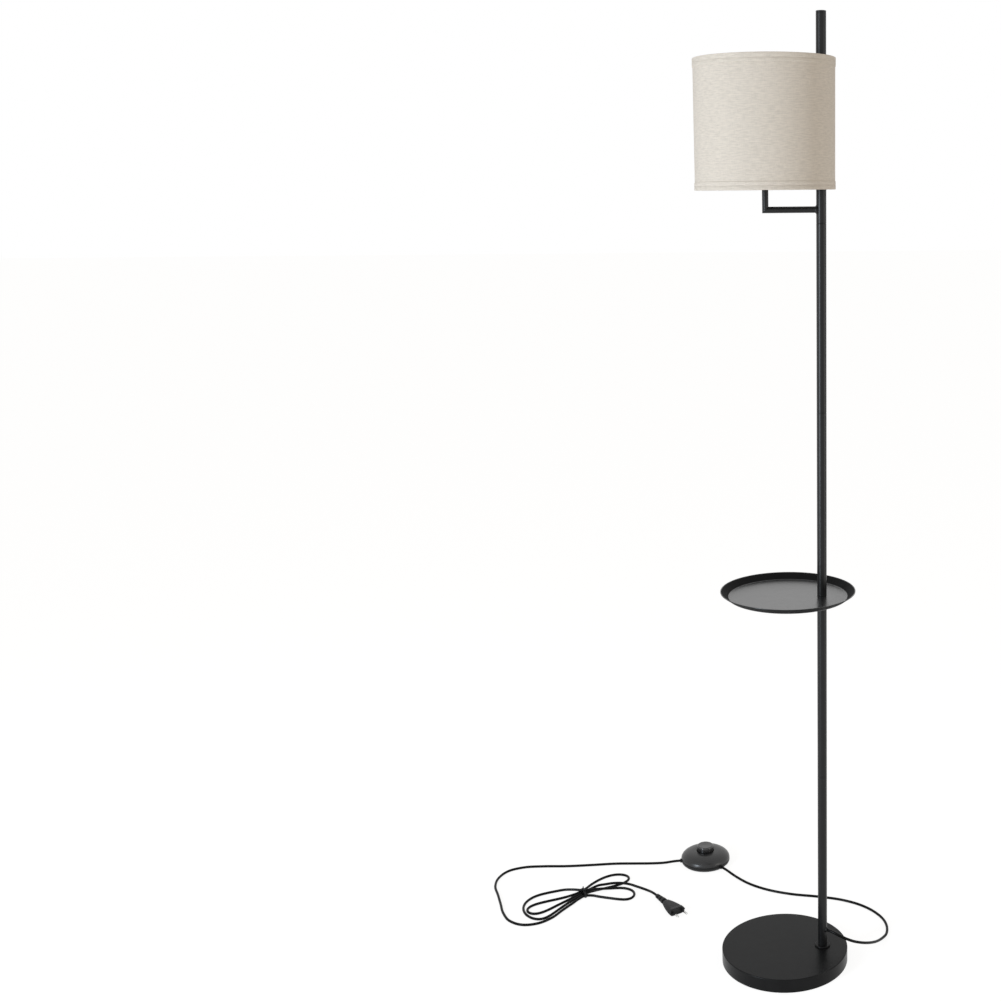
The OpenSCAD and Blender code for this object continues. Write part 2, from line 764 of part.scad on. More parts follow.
module switch_base() {
    foot_r = switch_r - 4;
    color("#1c1c1e") difference() {
        union() {
            at_switch() rotate_extrude() polygon([
                [0, 0], [foot_r, 0], [switch_r - 1, 3], [switch_r, 5.5],
                [switch_r, rim_z - 0.5], [switch_r - 0.5, rim_z], [switch_r - switch_wall, rim_z],
                [switch_r - switch_wall, rim_z - 1.5], [foot_r - 1, switch_wall], [0, switch_wall]]);
            for (turn = entry_turn) at_switch(entry_z) rotate(turn) rotate([0, 90, 0])
                translate([0, 0, switch_r - 5]) cylinder(r = cable_r + 1.6, h = 5 + entry_l);
            for (turn = screw_turn) at_switch(1) rotate(turn)
                translate([screw_out, 0, 0]) cylinder(r = 3.4, h = rim_z - 1);
        }
        for (turn = entry_turn) at_switch(entry_z) rotate(turn) rotate([0, 90, 0])
            translate([0, 0, switch_r - 6]) cylinder(r = cable_r - 0.5, h = 12);
        for (turn = screw_turn) at_switch() rotate(turn) translate([screw_out, 0, -1]) {
            cylinder(r = screw_r + 0.1, h = rim_z + 2);
            cylinder(r = 2.8, h = 4.2);
        }
    }
}

module switch_cover() {
    steps = 8;
    span = switch_r - plateau_r;
    low = rim_z + 1;
    top = low + dome_h;
    hole_r = button_r + button_gap;
    function dome(r, h, from, to) = [for (i = [0:steps])
        let (a = from + (to - from) * i / steps) [plateau_r - 2 + r * cos(a), low + h * sin(a)]];
    color("#1c1c1e") difference() {
        union() {
            at_switch() rotate_extrude() polygon(concat(
                [[switch_r - 1, rim_z], [switch_r - 1, low]],
                dome(span + 2, dome_h, 0, 84),
                [[hole_r + 1.2, top - 0.2], [hole_r + 0.4, top - 1], [hole_r, top - 2.2],
                 [hole_r, button_low - 1], [hole_r + 2, button_low - 1]],
                dome(span - 0.4, dome_h - switch_wall, 60, 0),
                [[switch_r - 3.6, rim_z]]));
            for (turn = screw_turn) at_switch(rim_z) rotate(turn) translate([screw_out, 0, 0])
                cylinder(r = 3.2, h = 13.2);
        }
        for (turn = screw_turn) at_switch(rim_z - 1) rotate(turn) translate([screw_out, 0, 0])
            cylinder(r = screw_r + fit, h = 11);
        for (turn = entry_turn) at_switch(entry_z) rotate(turn) rotate([0, 90, 0])
            translate([0, 0, switch_r - 8]) cylinder(r = cable_r + 1.6 + 0.2, h = 20);
    }
}

module switch_button() {
    skirt = 1.8;
    soft = 2.4;
    roof = 3;
    color("#161617") at_switch() {
        rotate_extrude() polygon(concat(
            [[button_r - skirt, button_low], [button_r, button_low]],
            arc([button_r - soft, switch_h - soft], soft, 0, 90),
            [[0, switch_h - 0.6], [0, switch_h - roof], [button_r - skirt, switch_h - roof]]));
        translate([0, 0, guide_z + button_travel + 1])
            cylinder(r = stem_r, h = switch_h - roof - guide_z - button_travel - 0.8);
    }
}

// Return spring round the stem, one unbroken coil with closed ends
module switch_spring() {
    turns = 6;
    wire = 0.5;
    coil_r = stem_r + 1.6;
    low = spring_low + wire + 0.05;
    high = switch_h - 3 - wire - 0.05;
    steps = 10 * turns;
    path = [for (i = [0:steps]) let (f = i / steps, a = 360 * turns * f)
        [coil_r * cos(a), coil_r * sin(a), low + (high - low) * f]];
    sides = 6;
    points = [for (p = path) let (out = [p[0], p[1], 0] / coil_r)
        for (k = [0:sides - 1]) let (turn = 360 * k / sides)
            p + wire * (cos(turn) * out + sin(turn) * [0, 0, 1])];
    color("#c6c6c4") at_switch() skin(points, sides);
}

// Latching switch block with a guide for the button's stem
module switch_module() {
    color("#3a3a3c") at_switch(switch_wall) difference() {
        union() {
            translate([-module_w / 2, -module_w / 2, 0]) cube([module_w, module_w, module_z - 2]);
            translate([0, 0, module_z - 2]) cylinder(r = 8, h = 2);
        }
        translate([0, 0, guide_z - switch_wall]) cylinder(r = stem_r + 0.1, h = module_z);
    }
}

module switch_clamps() {
    color("#2a2a2c") for (turn = entry_turn) at_switch(switch_wall) rotate(turn) difference() {
        translate([26, -8, 0]) cube([7, 16, entry_z - switch_wall + cable_r + 1.5]);
        translate([20, 0, entry_z - switch_wall]) rotate([0, 90, 0]) cylinder(r = cable_r, h = 20);
    }
}

module switch_screws() {
    color("#b9b9b4") for (turn = screw_turn) at_switch() rotate(turn) translate([screw_out, 0, 0])
        difference() {
            union() {
                translate([0, 0, 0.6]) cylinder(r = 2.7, h = 2.6);
                translate([0, 0, 3]) cylinder(r = screw_r, h = 15);
            }
            translate([-3, -0.4, 0]) cube([6, 0.8, 1.6]);
            translate([-0.4, -3, 0]) cube([0.8, 6, 1.6]);
        }
}

// ---- Plug: its axis is Z, with the face at 0 and the cord end below ----

module plug_body() {
    shoulder = 12;
    edge = 2;
    module slab(w, t, z, h) {
        translate([0, 0, z]) linear_extrude(h) offset(r = edge, $fn = 24)
            square([w - 2 * edge, t - 2 * edge], center = true);
    }
    color("#18181a") at_plug() difference() {
        union() {
            hull() {
                slab(plug_w, plug_t, -shoulder, shoulder - 1.5);
                slab(plug_w - 3, plug_t - 2.4, -1, 1);
                slab(16, 10.5, -plug_l, 2);
            }
            translate([0, 0, -plug_l - relief_l]) cylinder(r1 = cable_r + 0.7, r2 = 4, h = relief_l + 4);
            for (k = [0:2]) translate([0, 0, -plug_l - relief_l + 0.6 + 9.8 * k])
                cylinder(r = 4.4 + 0.7 * k, h = 6.8);
        }
        for (side = [-1, 1]) translate([side * pin_pitch / 2, 0, -14]) cylinder(r = 2, h = 20);
        translate([0, 0, -plug_l - relief_l - 1]) cylinder(r = cable_r - 0.5, h = 8);
    }
}

module plug_pins() {
    pin_l = 19;
    color("#d2d2cf") at_plug() for (side = [-1, 1]) translate([side * pin_pitch / 2, 0, 0]) {
        translate([0, 0, -14]) cylinder(r = 1.5, h = 14 + 10);
        translate([0, 0, 10]) cylinder(r = 2, h = pin_l - 11.2);
        translate([0, 0, pin_l - 1.2]) cylinder(r1 = 2, r2 = 1.1, h = 1.2);
    }
}

module plug_sleeves() {
    color("#18181a") at_plug() for (side = [-1, 1]) translate([side * pin_pitch / 2, 0, -14])
        tube(1.95, 1.5, 24);
}

base_cover();
base_weight();
base_pad();
base_stud();
base_washer();
base_nut();
pole_collar();
for (n = [0:4]) pole_section(n);
pole_bushes();
for (n = [0:3]) pole_stud(n);
top_cap();
cord_bush();
tray();
arm();
inner_cable();
holder_nut();
holder_cup();
holder_carrier();
holder_shell();
holder_contact();
holder_terminals();
holder_sleeve();
shade_nut();
bulb_glass();
bulb_cap();
bulb_tip();
shade_spider();
shade_ring();
shade_clips();
shade_liner();
shade_fabric();
shade_trim_top();
shade_trim_bottom();
cord_to_switch();
cord_to_hank();
cord_hank();
cord_tail();
cord_tie();
switch_base();
switch_cover();
switch_button();
switch_spring();
switch_module();
switch_clamps();
switch_screws();
plug_body();
plug_pins();
plug_sleeves();
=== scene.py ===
import json
import math

import bmesh
import bpy
from bpy.props import FloatProperty, FloatVectorProperty, IntProperty, PointerProperty
from mathutils import Matrix, Vector


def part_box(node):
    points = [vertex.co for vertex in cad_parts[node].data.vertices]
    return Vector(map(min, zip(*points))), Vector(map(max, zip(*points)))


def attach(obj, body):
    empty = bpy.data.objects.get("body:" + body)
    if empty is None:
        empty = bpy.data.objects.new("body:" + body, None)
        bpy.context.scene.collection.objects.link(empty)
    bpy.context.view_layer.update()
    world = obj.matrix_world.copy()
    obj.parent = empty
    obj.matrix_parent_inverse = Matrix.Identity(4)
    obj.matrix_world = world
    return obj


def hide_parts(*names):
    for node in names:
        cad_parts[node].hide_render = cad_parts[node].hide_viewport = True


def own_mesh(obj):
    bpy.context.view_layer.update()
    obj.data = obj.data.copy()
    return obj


bl_info = {
    "name": "Floor lamp with tray table",
    "version": (1, 0, 0),
    "blender": (4, 5, 0),
    "location": "3D View > Sidebar > Floor lamp",
    "description": "Cord, plug, shade cloth and finishes of a floor lamp, around its CAD frame",
    "category": "Object",
}

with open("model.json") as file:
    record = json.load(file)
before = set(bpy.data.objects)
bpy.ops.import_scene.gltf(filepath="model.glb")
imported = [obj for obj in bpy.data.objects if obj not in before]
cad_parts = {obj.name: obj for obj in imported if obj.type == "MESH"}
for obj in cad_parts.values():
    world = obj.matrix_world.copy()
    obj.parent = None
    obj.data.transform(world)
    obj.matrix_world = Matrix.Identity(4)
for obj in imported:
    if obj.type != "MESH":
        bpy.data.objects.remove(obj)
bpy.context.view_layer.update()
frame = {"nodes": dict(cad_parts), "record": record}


def middle(node):
    """Centre of a CAD node's box."""
    low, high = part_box(node)
    return (low + high) / 2


def half_width(node):
    """Half the width of a CAD node's box, which is the radius of a round one."""
    low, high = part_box(node)
    return (high.x - low.x) / 2


SHADE_AXIS = middle("shade_liner")
SHADE_R, LINER_R = half_width("shade_fabric"), half_width("shade_liner")
SHADE_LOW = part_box("shade_trim_bottom")[0].z
SHADE_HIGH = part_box("shade_trim_top")[1].z
TRAY_SHEET = 0.0012
TRAY_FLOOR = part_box("tray")[0].z + TRAY_SHEET
TRAY_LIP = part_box("tray")[1].z - TRAY_SHEET / 2
SAME_PLACE = 0.00001  # points that are nearer than this are one


# ---- Sizes and colours ----


def length(name, description, default):
    return FloatProperty(name=name, description=description, default=default, min=0, precision=5,
                         unit="LENGTH", subtype="DISTANCE")


def angle(name, description, degrees):
    return FloatProperty(name=name, description=description, default=math.radians(degrees),
                         subtype="ANGLE", unit="ROTATION")


def colour(name, description, default):
    return FloatVectorProperty(name=name, description=description, default=default, size=3,
                               min=0, max=1, subtype="COLOR")


def amount(name, description, default):
    return FloatProperty(name=name, description=description, default=default, min=0)


class StudioSettings(bpy.types.PropertyGroup):
    focal: length("Focal length", "Focal length on a sensor 36 mm wide", 0.04951)
    pitch: angle("Pitch", "How far the camera looks down", 12.605)
    roll: angle("Roll", "How far the camera leans to the right", 0.4777)
    shift: FloatProperty(name="Shift", default=-0.2803,
                         description="Sideways shift of the picture, as a share of its width")
    distance: length("Distance", "From the camera to the lamp's middle plane", 2.21245)
    height: length("Height", "Height of the camera over the floor", 1.32882)
    key: amount("Key light", "Power in watts of the tall softbox at the left", 47)
    fill: amount("Fill light", "Power in watts of the tall softbox at the right", 9)
    air: amount("Air light", "Strength of the even light from all around", 0.455)
    air_tone: colour("Air tone", "Colour of the even light", (1, 0.96, 0.9))
    key_tone: colour("Key tone", "Colour of the softbox at the left", (0.8, 0.895, 1))
    floor: colour("Floor", "Colour of the floor", (0.9, 0.9, 0.9))
    glow: amount("Floor glow", "Strength of the white that only views of the floor get", 1.22)
    glow_share: amount("Glow share", "How much of the floor is that white in a view", 0.72)


class CordSizes(bpy.types.PropertyGroup):
    diameter: length("Diameter", "Diameter of the cord", 0.005)
    strand_gap: length("Strand pitch", "From one strand in the hank to the next", 0.0058)
    lead: length("Lead", "Length from the pole to the foot switch", 0.61)
    mains: length("Mains", "Length from the foot switch to the plug", 1.96)
    ear: length("Tie end", "Length of the tie's twisted ends", 0.004)


class PlugSizes(bpy.types.PropertyGroup):
    width: length("Width", "Width of the body at its face", 0.0353)
    thickness: length("Thickness", "Thickness of the body at its face", 0.0137)
    body: length("Body", "Length of the body", 0.042)
    relief: length("Relief", "Length of the ringed sleeve on the cord", 0.032)


class ShadeSizes(bpy.types.PropertyGroup):
    cloth: length("Cloth", "Thickness of the cloth", 0.00045)
    seam: length("Seam", "Width of the overlap at the back", 0.008)
    trim: length("Trim", "Width of the folded tape outside", 0.013)
    tape: length("Tape", "Thickness of the folded tape", 0.0008)
    thread: length("Thread", "From one thread of the weave to the next", 0.0009)
    facets: IntProperty(name="Facets", description="Steps round the shade", default=240, min=64)


class Colours(bpy.types.PropertyGroup):
    powder: colour("Powder coat", "Base, pole, tray and arm", (0.006, 0.0061, 0.0063))
    linen: colour("Linen", "Cloth of the shade", (0.735, 0.66, 0.57))
    slub: colour("Slub", "Thick threads in the cloth", (0.5, 0.43, 0.34))
    liner: colour("Liner", "Inside of the shade", (0.84, 0.825, 0.78))
    sheath: colour("Sheath", "Cord", (0.002, 0.002, 0.0021))
    moulding: colour("Moulding", "Plug, foot switch and lampholder", (0.006, 0.006, 0.0063))
    wire: colour("Wire", "Wire frame and clips of the shade", (0.82, 0.82, 0.8))


# ---- Finishes ----


class Wire:
    """One output in a material's nodes, with the usual arithmetic."""

    def __init__(self, tree, socket):
        self.tree, self.socket = tree, socket

    def maths(self, operation, *others):
        node = self.tree.nodes.new("ShaderNodeMath")
        node.operation = operation
        for place, value in zip(node.inputs, (self, *others)):
            plug(self.tree, value, place)
        return Wire(self.tree, node.outputs[0])

    def __add__(self, other):
        return self.maths("ADD", other)

    def __radd__(self, other):
        return self + other

    def __sub__(self, other):
        return self.maths("SUBTRACT", other)

    def __rsub__(self, other):
        return self * -1.0 + other

    def __mul__(self, other):
        return self.maths("MULTIPLY", other)

    def __rmul__(self, other):
        return self * other

    def over(self, low, high):
        """0 below low, 1 above high and a smooth step between."""
        node = self.tree.nodes.new("ShaderNodeMapRange")
        node.interpolation_type = "SMOOTHSTEP"
        for place, value in zip(node.inputs, (self, low, high)):
            plug(self.tree, value, place)
        return Wire(self.tree, node.outputs[0])


def plug(tree, value, place):
    """Links a wire to a socket, or sets a number or colour on it."""
    if isinstance(value, Wire):
        tree.links.new(value.socket, place)
    elif hasattr(value, "__len__") and len(place.default_value) == 4 and len(value) == 3:
        place.default_value = (*value, 1)
    else:
        place.default_value = value


class Finish:
    """A material with one Principled shader, whose sockets take numbers, colours and wires."""

    def __init__(self, name, **sockets):
        self.material = bpy.data.materials.new(name)
        self.material.use_nodes = True
        self.tree = self.material.node_tree
        self.shader = self.tree.nodes["Principled BSDF"]
        self.set(**sockets)

    def set(self, **sockets):
        for name, value in sockets.items():
            label = "Specular IOR Level" if name == "specular" else name.replace("_", " ").title()
            plug(self.tree, value, self.shader.inputs[label])

    def node(self, kind, output=0, settings=(), **inputs):
        """Adds any node: its settings, then its inputs by name, and gives one output."""
        node = self.tree.nodes.new("ShaderNode" + kind)
        for name, value in dict(settings).items():
            setattr(node, name, value)
        for name, value in inputs.items():
            place = next(s for s in node.inputs if s.name.replace(" ", "").lower() == name.lower()
                         and s.enabled)
            plug(self.tree, value, place)
        return Wire(self.tree, node.outputs[output])

    def where(self, stretch=(1, 1, 1), uv=False):
        """Place on the piece, in metres, squeezed by stretch."""
        spot = self.node("TexCoord", "UV" if uv else "Object")
        return self.node("Mapping", vector=spot, scale=stretch)

    def noise(self, size, stretch=(1, 1, 1), detail=3.0, uv=False):
        """Cloudy value from 0 to 1 whose lumps have the size in metres."""
        return self.node("TexNoise", vector=self.where(stretch, uv), scale=1 / size, detail=detail)

    def mix(self, factor, a, b):
        return self.node("Mix", 2, {"data_type": "RGBA"}, factor=factor, a=a, b=b)

    def bump(self, height, depth, below=None):
        """Raises the surface by up to depth metres, over another bump if one is given."""
        inputs = {"normal": below} if below else {}
        return self.node("Bump", height=height, distance=depth, strength=1.0, **inputs)


def shade_of(tone, factor):
    return tuple(min(1, c * factor) for c in tone)


def powder_coat(name, tone, specular=0.3, glossy=()):
    """Matt powder coat: fine orange peel, with more gloss in the given bands of height."""
    coat = Finish(name, specular=specular)
    cloud, peel, grit = coat.noise(0.02, detail=4), coat.noise(0.0011), coat.noise(0.00035)
    rough = cloud * 0.08 + grit * 0.1 + 0.24
    if glossy:
        fade_below, fade_above = 0.0004, 0.0005
        height = coat.node("SeparateXYZ", 2, vector=coat.where())
        gloss = sum(height.over(low - fade_below, low) * (1 - height.over(high, high + fade_above))
                    for low, high in glossy)
        coat.set(coat_weight=gloss, coat_roughness=0.26)
        rough = rough + (1 - gloss) * 0.3
    coat.set(base_color=coat.mix(cloud.over(0.35, 0.7), tone, shade_of(tone, 1.35)),
             roughness=rough, normal=coat.bump(grit, 0.00002, coat.bump(peel, 0.00005)))
    return coat.material


def moulding(name, tone, gloss=0.4, grain=0.00003, specular=0.24):
    """Injection-moulded plastic: spark-eroded grain and faint flow marks."""
    part = Finish(name, specular=specular)
    cloud, grit = part.noise(0.012, detail=4), part.noise(0.00045, detail=2)
    part.set(base_color=part.mix(cloud.over(0.3, 0.75), tone, shade_of(tone, 1.3)),
             roughness=cloud * 0.12 + grit * 0.06 + (gloss - 0.08),
             normal=part.bump(grit, grain))
    return part.material


def sheath(name, tone, gloss=0.24):
    """Extruded cord sheath: smooth, with slow waves along it and small scuffs."""
    cord = Finish(name, specular=0.1)
    wave, scuff = cord.noise(0.009, detail=2), cord.noise(0.0016, detail=4)
    cord.set(base_color=cord.mix(scuff.over(0.45, 0.8), tone, shade_of(tone, 1.5)),
             roughness=scuff.over(0.4, 0.75) * 0.16 + gloss,
             normal=cord.bump(wave, 0.0002, cord.bump(scuff, 0.00002)))
    return cord.material


def linen(name, tone, slub, thread):
    """Plain linen weave on the piece's own UV map in metres: threads, slubs and flecks."""
    cloth = Finish(name, specular=0.15, sheen_weight=0.25, sheen_roughness=0.5, roughness=0.85)
    across = cloth.node("SeparateXYZ", vector=cloth.where(uv=True))
    up = Wire(cloth.tree, across.socket.node.outputs[1])
    weft = cloth.noise(0.0009, (0.09, 1, 1), 3, uv=True)
    warp = cloth.noise(0.0011, (1, 0.11, 1), 3, uv=True)
    streak = cloth.noise(0.0021, (0.17, 1, 1), 2, uv=True)
    thick = cloth.noise(0.0016, (0.13, 1, 1), 1, uv=True).over(0.62, 0.78)
    knots = cloth.noise(0.0022, (1, 0.3, 1), 2, uv=True).over(0.7, 0.8)
    cloud = cloth.noise(0.035, detail=2, uv=True)
    turn = math.tau / thread / 2
    weave = ((across * turn).maths("SINE") * (up * turn).maths("SINE")).maths("ABSOLUTE")
    shade = weft * 0.3 + warp * 0.22 + streak * 0.48
    ground = cloth.mix(shade.over(0.33, 0.67), shade_of(tone, 0.88), shade_of(tone, 1.09))
    flecked = cloth.mix((thick * 0.35 + knots * 0.4).maths("MINIMUM", 0.6), ground, slub)
    cloth.set(base_color=cloth.mix(cloud * 0.22, flecked, shade_of(tone, 1.06)),
              normal=cloth.bump(weave * 0.6 + shade + thick * 0.5, 0.00018))
    return cloth.material


def liner_sheet(name, tone):
    """Smooth white styrene sheet with a very slight haze."""
    sheet = Finish(name, specular=0.4)
    haze = sheet.noise(0.03, detail=3)
    sheet.set(base_color=sheet.mix(haze, tone, shade_of(tone, 0.96)),
              roughness=haze * 0.1 + 0.42, normal=sheet.bump(sheet.noise(0.004), 0.00003))
    return sheet.material


def plated(name, tone, gloss, streak=(1, 1, 1)):
    """Bare or plated metal: fine streaks along one way and cloudy gloss."""
    metal = Finish(name, metallic=1.0)
    lines, cloud = metal.noise(0.0006, streak), metal.noise(0.006, detail=4)
    metal.set(base_color=metal.mix(cloud.over(0.35, 0.7), tone, shade_of(tone, 0.84)),
              roughness=cloud * 0.14 + lines * 0.08 + gloss,
              normal=metal.bump(lines, 0.000012))
    return metal.material


def casting(name, tone):
    """Rough grey casting under a thin primer."""
    iron = Finish(name, metallic=0.55, specular=0.3)
    pits, cloud = iron.noise(0.0018, detail=5), iron.noise(0.015, detail=4)
    iron.set(base_color=iron.mix(cloud.over(0.35, 0.7), tone, shade_of(tone, 0.6)),
             roughness=pits * 0.2 + 0.55, normal=iron.bump(pits, 0.00025))
    return iron.material


def foam(name, tone):
    """Closed-cell foam sheet: small open cells on a cut face, their pits darkened by painted
    shade.
    """
    pad = Finish(name, specular=0.15, roughness=0.9)
    cells = pad.node("TexVoronoi", vector=pad.where(), scale=1 / 0.0009)
    # painted shade: the colour is darker in the pits of the cells, where the bump is lowest
    pad.set(base_color=pad.mix(cells.over(0.05, 0.5), shade_of(tone, 0.6), tone),
            normal=pad.bump(cells.over(0, 0.5), 0.0002))
    return pad.material


def ceramic(name, tone):
    """Unglazed insulating ceramic with small specks."""
    block = Finish(name, specular=0.35)
    speck, cloud = block.noise(0.0005, detail=2).over(0.68, 0.76), block.noise(0.005, detail=3)
    block.set(base_color=block.mix(speck * 0.5, block.mix(cloud, tone, shade_of(tone, 0.93)),
                                   shade_of(tone, 0.55)),
              roughness=cloud * 0.1 + 0.5, normal=block.bump(block.noise(0.0007), 0.00003))
    return block.material


def opal(name):
    """Opal glass: milky, glossy, a little thicker here and there."""
    glass = Finish(name, specular=0.5, subsurface_weight=0.25, subsurface_scale=0.004,
                   coat_weight=0.4, coat_roughness=0.04)
    milk = glass.noise(0.02, detail=2)
    glass.set(base_color=glass.mix(milk, (0.86, 0.855, 0.83), (0.8, 0.79, 0.755)),
              roughness=milk * 0.06 + 0.12)
    return glass.material


def coated_wire(name, tone):
    """Glossy white dipped coat on steel wire."""
    wire = Finish(name, specular=0.5)
    runs, spots = wire.noise(0.004, detail=2), wire.noise(0.0012, detail=3)
    wire.set(base_color=wire.mix(spots.over(0.55, 0.8), tone, shade_of(tone, 0.9)),
             roughness=runs * 0.12 + 0.26, normal=wire.bump(runs, 0.00008))
    return wire.material


def give(material, *nodes):
    """Puts a finish on CAD nodes."""
    for node in nodes:
        for place in frame["nodes"][node].material_slots:
            place.material = material


def nodes_of(*slots):
    """The CAD nodes whose material in the record is one of the slots."""
    return [part["node"] for part in frame["record"]["subparts"] if part["material_slot"] in slots]


# ---- Modelling ----


def select_only(piece):
    """Selects this piece and no other, and makes it the active one."""
    bpy.ops.object.select_all(action="DESELECT")
    piece.select_set(True)
    bpy.context.view_layer.objects.active = piece


def settle(piece, name, material, body="lamp", replaces=(), smooth=None):
    """Names a finished piece, puts its place in its mesh, gives it its material and body, and
    hides the CAD nodes that it replaces.
    """
    select_only(piece)
    if piece.type == "MESH":
        bpy.ops.object.transform_apply(location=True, rotation=True, scale=True)
        if smooth is not None:
            bpy.ops.object.shade_smooth_by_angle(angle=math.radians(smooth))
    piece.name = piece.data.name = name
    piece.data.materials.clear()
    piece.data.materials.append(material)
    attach(piece, body)
    if replaces:
        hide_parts(*replaces)
    return piece


def start(add, **settings):
    """Adds one primitive with nothing else selected, and opens it in edit mode."""
    bpy.ops.object.select_all(action="DESELECT")
    add(**settings)
    piece = bpy.context.object
    bpy.ops.object.transform_apply(location=True, rotation=True, scale=True)
    bpy.context.tool_settings.mesh_select_mode = (True, False, False)
    bpy.ops.object.mode_set(mode="EDIT")
    return piece


def pick(piece, kind, test):
    """In edit mode, selects just the vertices, edges or faces whose middle passes the test."""
    bpy.context.tool_settings.mesh_select_mode = [kind == k for k in ("VERT", "EDGE", "FACE")]
    bpy.ops.mesh.select_all(action="DESELECT")
    mesh = bmesh.from_edit_mesh(piece.data)
    parts = {"VERT": mesh.verts, "EDGE": mesh.edges, "FACE": mesh.faces}[kind]
    for part in parts:
        spots = [part.co] if kind == "VERT" else [v.co for v in part.verts]
        if test(sum(spots, Vector()) / len(spots)):
            part.select_set(True)
    mesh.select_flush_mode()
    bmesh.update_edit_mesh(piece.data)


def mend(piece):
    """In edit mode, merges doubles and turns all faces outwards, then leaves edit mode."""
    bpy.ops.mesh.select_all(action="SELECT")
    bpy.ops.mesh.remove_doubles(threshold=SAME_PLACE)
    bpy.ops.mesh.normals_make_consistent(inside=False)
    bpy.ops.object.mode_set(mode="OBJECT")


def harden(piece, kind, **settings):
    """Adds a modifier and applies it."""
    bpy.context.view_layer.objects.active = piece
    modifier = piece.modifiers.new(kind, kind)
    for name, value in settings.items():
        setattr(modifier, name, value)
    bpy.ops.object.modifier_apply(modifier=modifier.name)


# ---- Stage ----

SENSOR = 36  # width of the camera's sensor in mm
FLOOR_SIDE, FLOOR_DROP = 60, 0.0002
KEY_PLACE, KEY_SIZE = (-1.9, -1.77, 0.95), (0.36, 1.8)
FILL_PLACE, FILL_SIZE = (2.25, -0.78, 0.95), (0.3, 1.8)


class LAMP_OT_stage(bpy.types.Operator):
    """Camera of the photograph, pale floor, white background and soft lights"""

    bl_idname = "lamp.stage"
    bl_label = "Stage"

    def execute(self, context):
        scene, wish = context.scene, context.scene.lamp_studio
        self.add_camera(scene, wish)
        self.add_floor(wish)
        self.add_background(scene, wish)
        self.add_softbox("key", wish.key, wish.key_tone, KEY_PLACE, KEY_SIZE)
        self.add_softbox("fill", wish.fill, wish.air_tone, FILL_PLACE, FILL_SIZE)
        scene.view_settings.view_transform = "Standard"
        return {"FINISHED"}

    def add_camera(self, scene, wish):
        camera = bpy.data.cameras.new("camera")
        camera.lens, camera.sensor_width = wish.focal * 1000, SENSOR
        camera.shift_x = wish.shift
        camera.clip_start, camera.clip_end = 0.05, 100
        ahead = Vector((0, math.cos(wish.pitch), -math.sin(wish.pitch)))
        level, upright = Vector((1, 0, 0)), Vector((0, math.sin(wish.pitch), math.cos(wish.pitch)))
        right = level * math.cos(wish.roll) - upright * math.sin(wish.roll)
        up = upright * math.cos(wish.roll) + level * math.sin(wish.roll)
        holder = bpy.data.objects.new("camera", camera)
        holder.matrix_world = (Matrix.Translation((0, -wish.distance, wish.height))
                               @ Matrix((right, up, -ahead)).transposed().to_4x4())
        scene.collection.objects.link(holder)
        scene.camera = holder

    def add_floor(self, wish):
        floor = start(bpy.ops.mesh.primitive_plane_add, size=FLOOR_SIDE,
                      location=(0, 0, -FLOOR_DROP))
        bpy.ops.object.mode_set(mode="OBJECT")
        floor.name = "floor"
        look = bpy.data.materials.new("floor")
        lit, glow = self.two_looks(look, "BsdfDiffuse", "Emission", "OutputMaterial",
                                   wish.glow_share)
        lit.inputs["Color"].default_value = (*wish.floor, 1)
        glow.inputs["Strength"].default_value = wish.glow
        floor.data.materials.append(look)

    def add_background(self, scene, wish):
        world = bpy.data.worlds.new("background")
        air, white = self.two_looks(world, "Background", "Background", "OutputWorld", 1.0)
        air.inputs["Color"].default_value = (*wish.air_tone, 1)
        air.inputs["Strength"].default_value = wish.air
        white.inputs["Color"].default_value = (1, 1, 1, 1)
        white.inputs["Strength"].default_value = 1
        scene.world = world

    def two_looks(self, owner, cast, seen, output, share):
        """One shader for what it casts on the lamp, and by the share another where it's seen."""
        owner.use_nodes = True
        tree = owner.node_tree
        tree.nodes.clear()
        rays, first, second, both, out = (tree.nodes.new("ShaderNode" + kind) for kind in (
            "LightPath", cast, seen, "MixShader", output))
        camera, glossy, through = (Wire(tree, rays.outputs[f"Is {kind} Ray"])
                                   for kind in ("Camera", "Glossy", "Transmission"))
        in_view = (camera + glossy + through).maths("MINIMUM", 1.0) * share
        tree.links.new(in_view.socket, both.inputs[0])
        tree.links.new(first.outputs[0], both.inputs[1])
        tree.links.new(second.outputs[0], both.inputs[2])
        tree.links.new(both.outputs[0], out.inputs[0])
        return first, second

    def add_softbox(self, name, power, tone, place, size):
        """An upright soft light that faces the lamp and isn't itself in any view."""
        box = bpy.data.lights.new(name, "AREA")
        box.shape, box.energy, box.color = "RECTANGLE", power, tone
        box.size, box.size_y = size
        holder = bpy.data.objects.new(name, box)
        holder.location = place
        holder.rotation_euler = Vector((place[0], place[1], 0)).to_track_quat("Z", "Y").to_euler()
        holder.visible_camera = False
        bpy.context.scene.collection.objects.link(holder)


# ---- Cord, tie and plug ----


def heading(degrees):
    """The level direction at this angle from the x axis, anticlockwise from above."""
    turn = math.radians(degrees)
    return Vector((math.cos(turn), math.sin(turn), 0))


LAY = 0.0026  # height of the cord's axis where it lies on the floor
EXIT_WAY, WAY_IN, WAY_OUT, PLUG_WAY = heading(-35), heading(-48), heading(190), heading(-54)
EXIT_ON_AXIS, BUSH_REACH = Vector((0.067, 0, 0.0577)), 0.011
EXIT = EXIT_ON_AXIS + BUSH_REACH * EXIT_WAY
SWITCH_AT, SWITCH_REACH, ENTRY_UP = Vector((-0.16, 0.365, 0)), 0.0515, Vector((0, 0, 0.007))
SWITCH_IN, SWITCH_OUT = [SWITCH_AT + SWITCH_REACH * way + ENTRY_UP for way in (WAY_IN, WAY_OUT)]
PLUG_FACE, PLUG_LONG = Vector((-0.202, 0.154, 0.00685)), 0.074
PLUG_IN = PLUG_FACE - PLUG_LONG * PLUG_WAY
STUB, STRAIGHT = 0.006, 0.009  # how far the cord runs straight at the bush, switch and plug
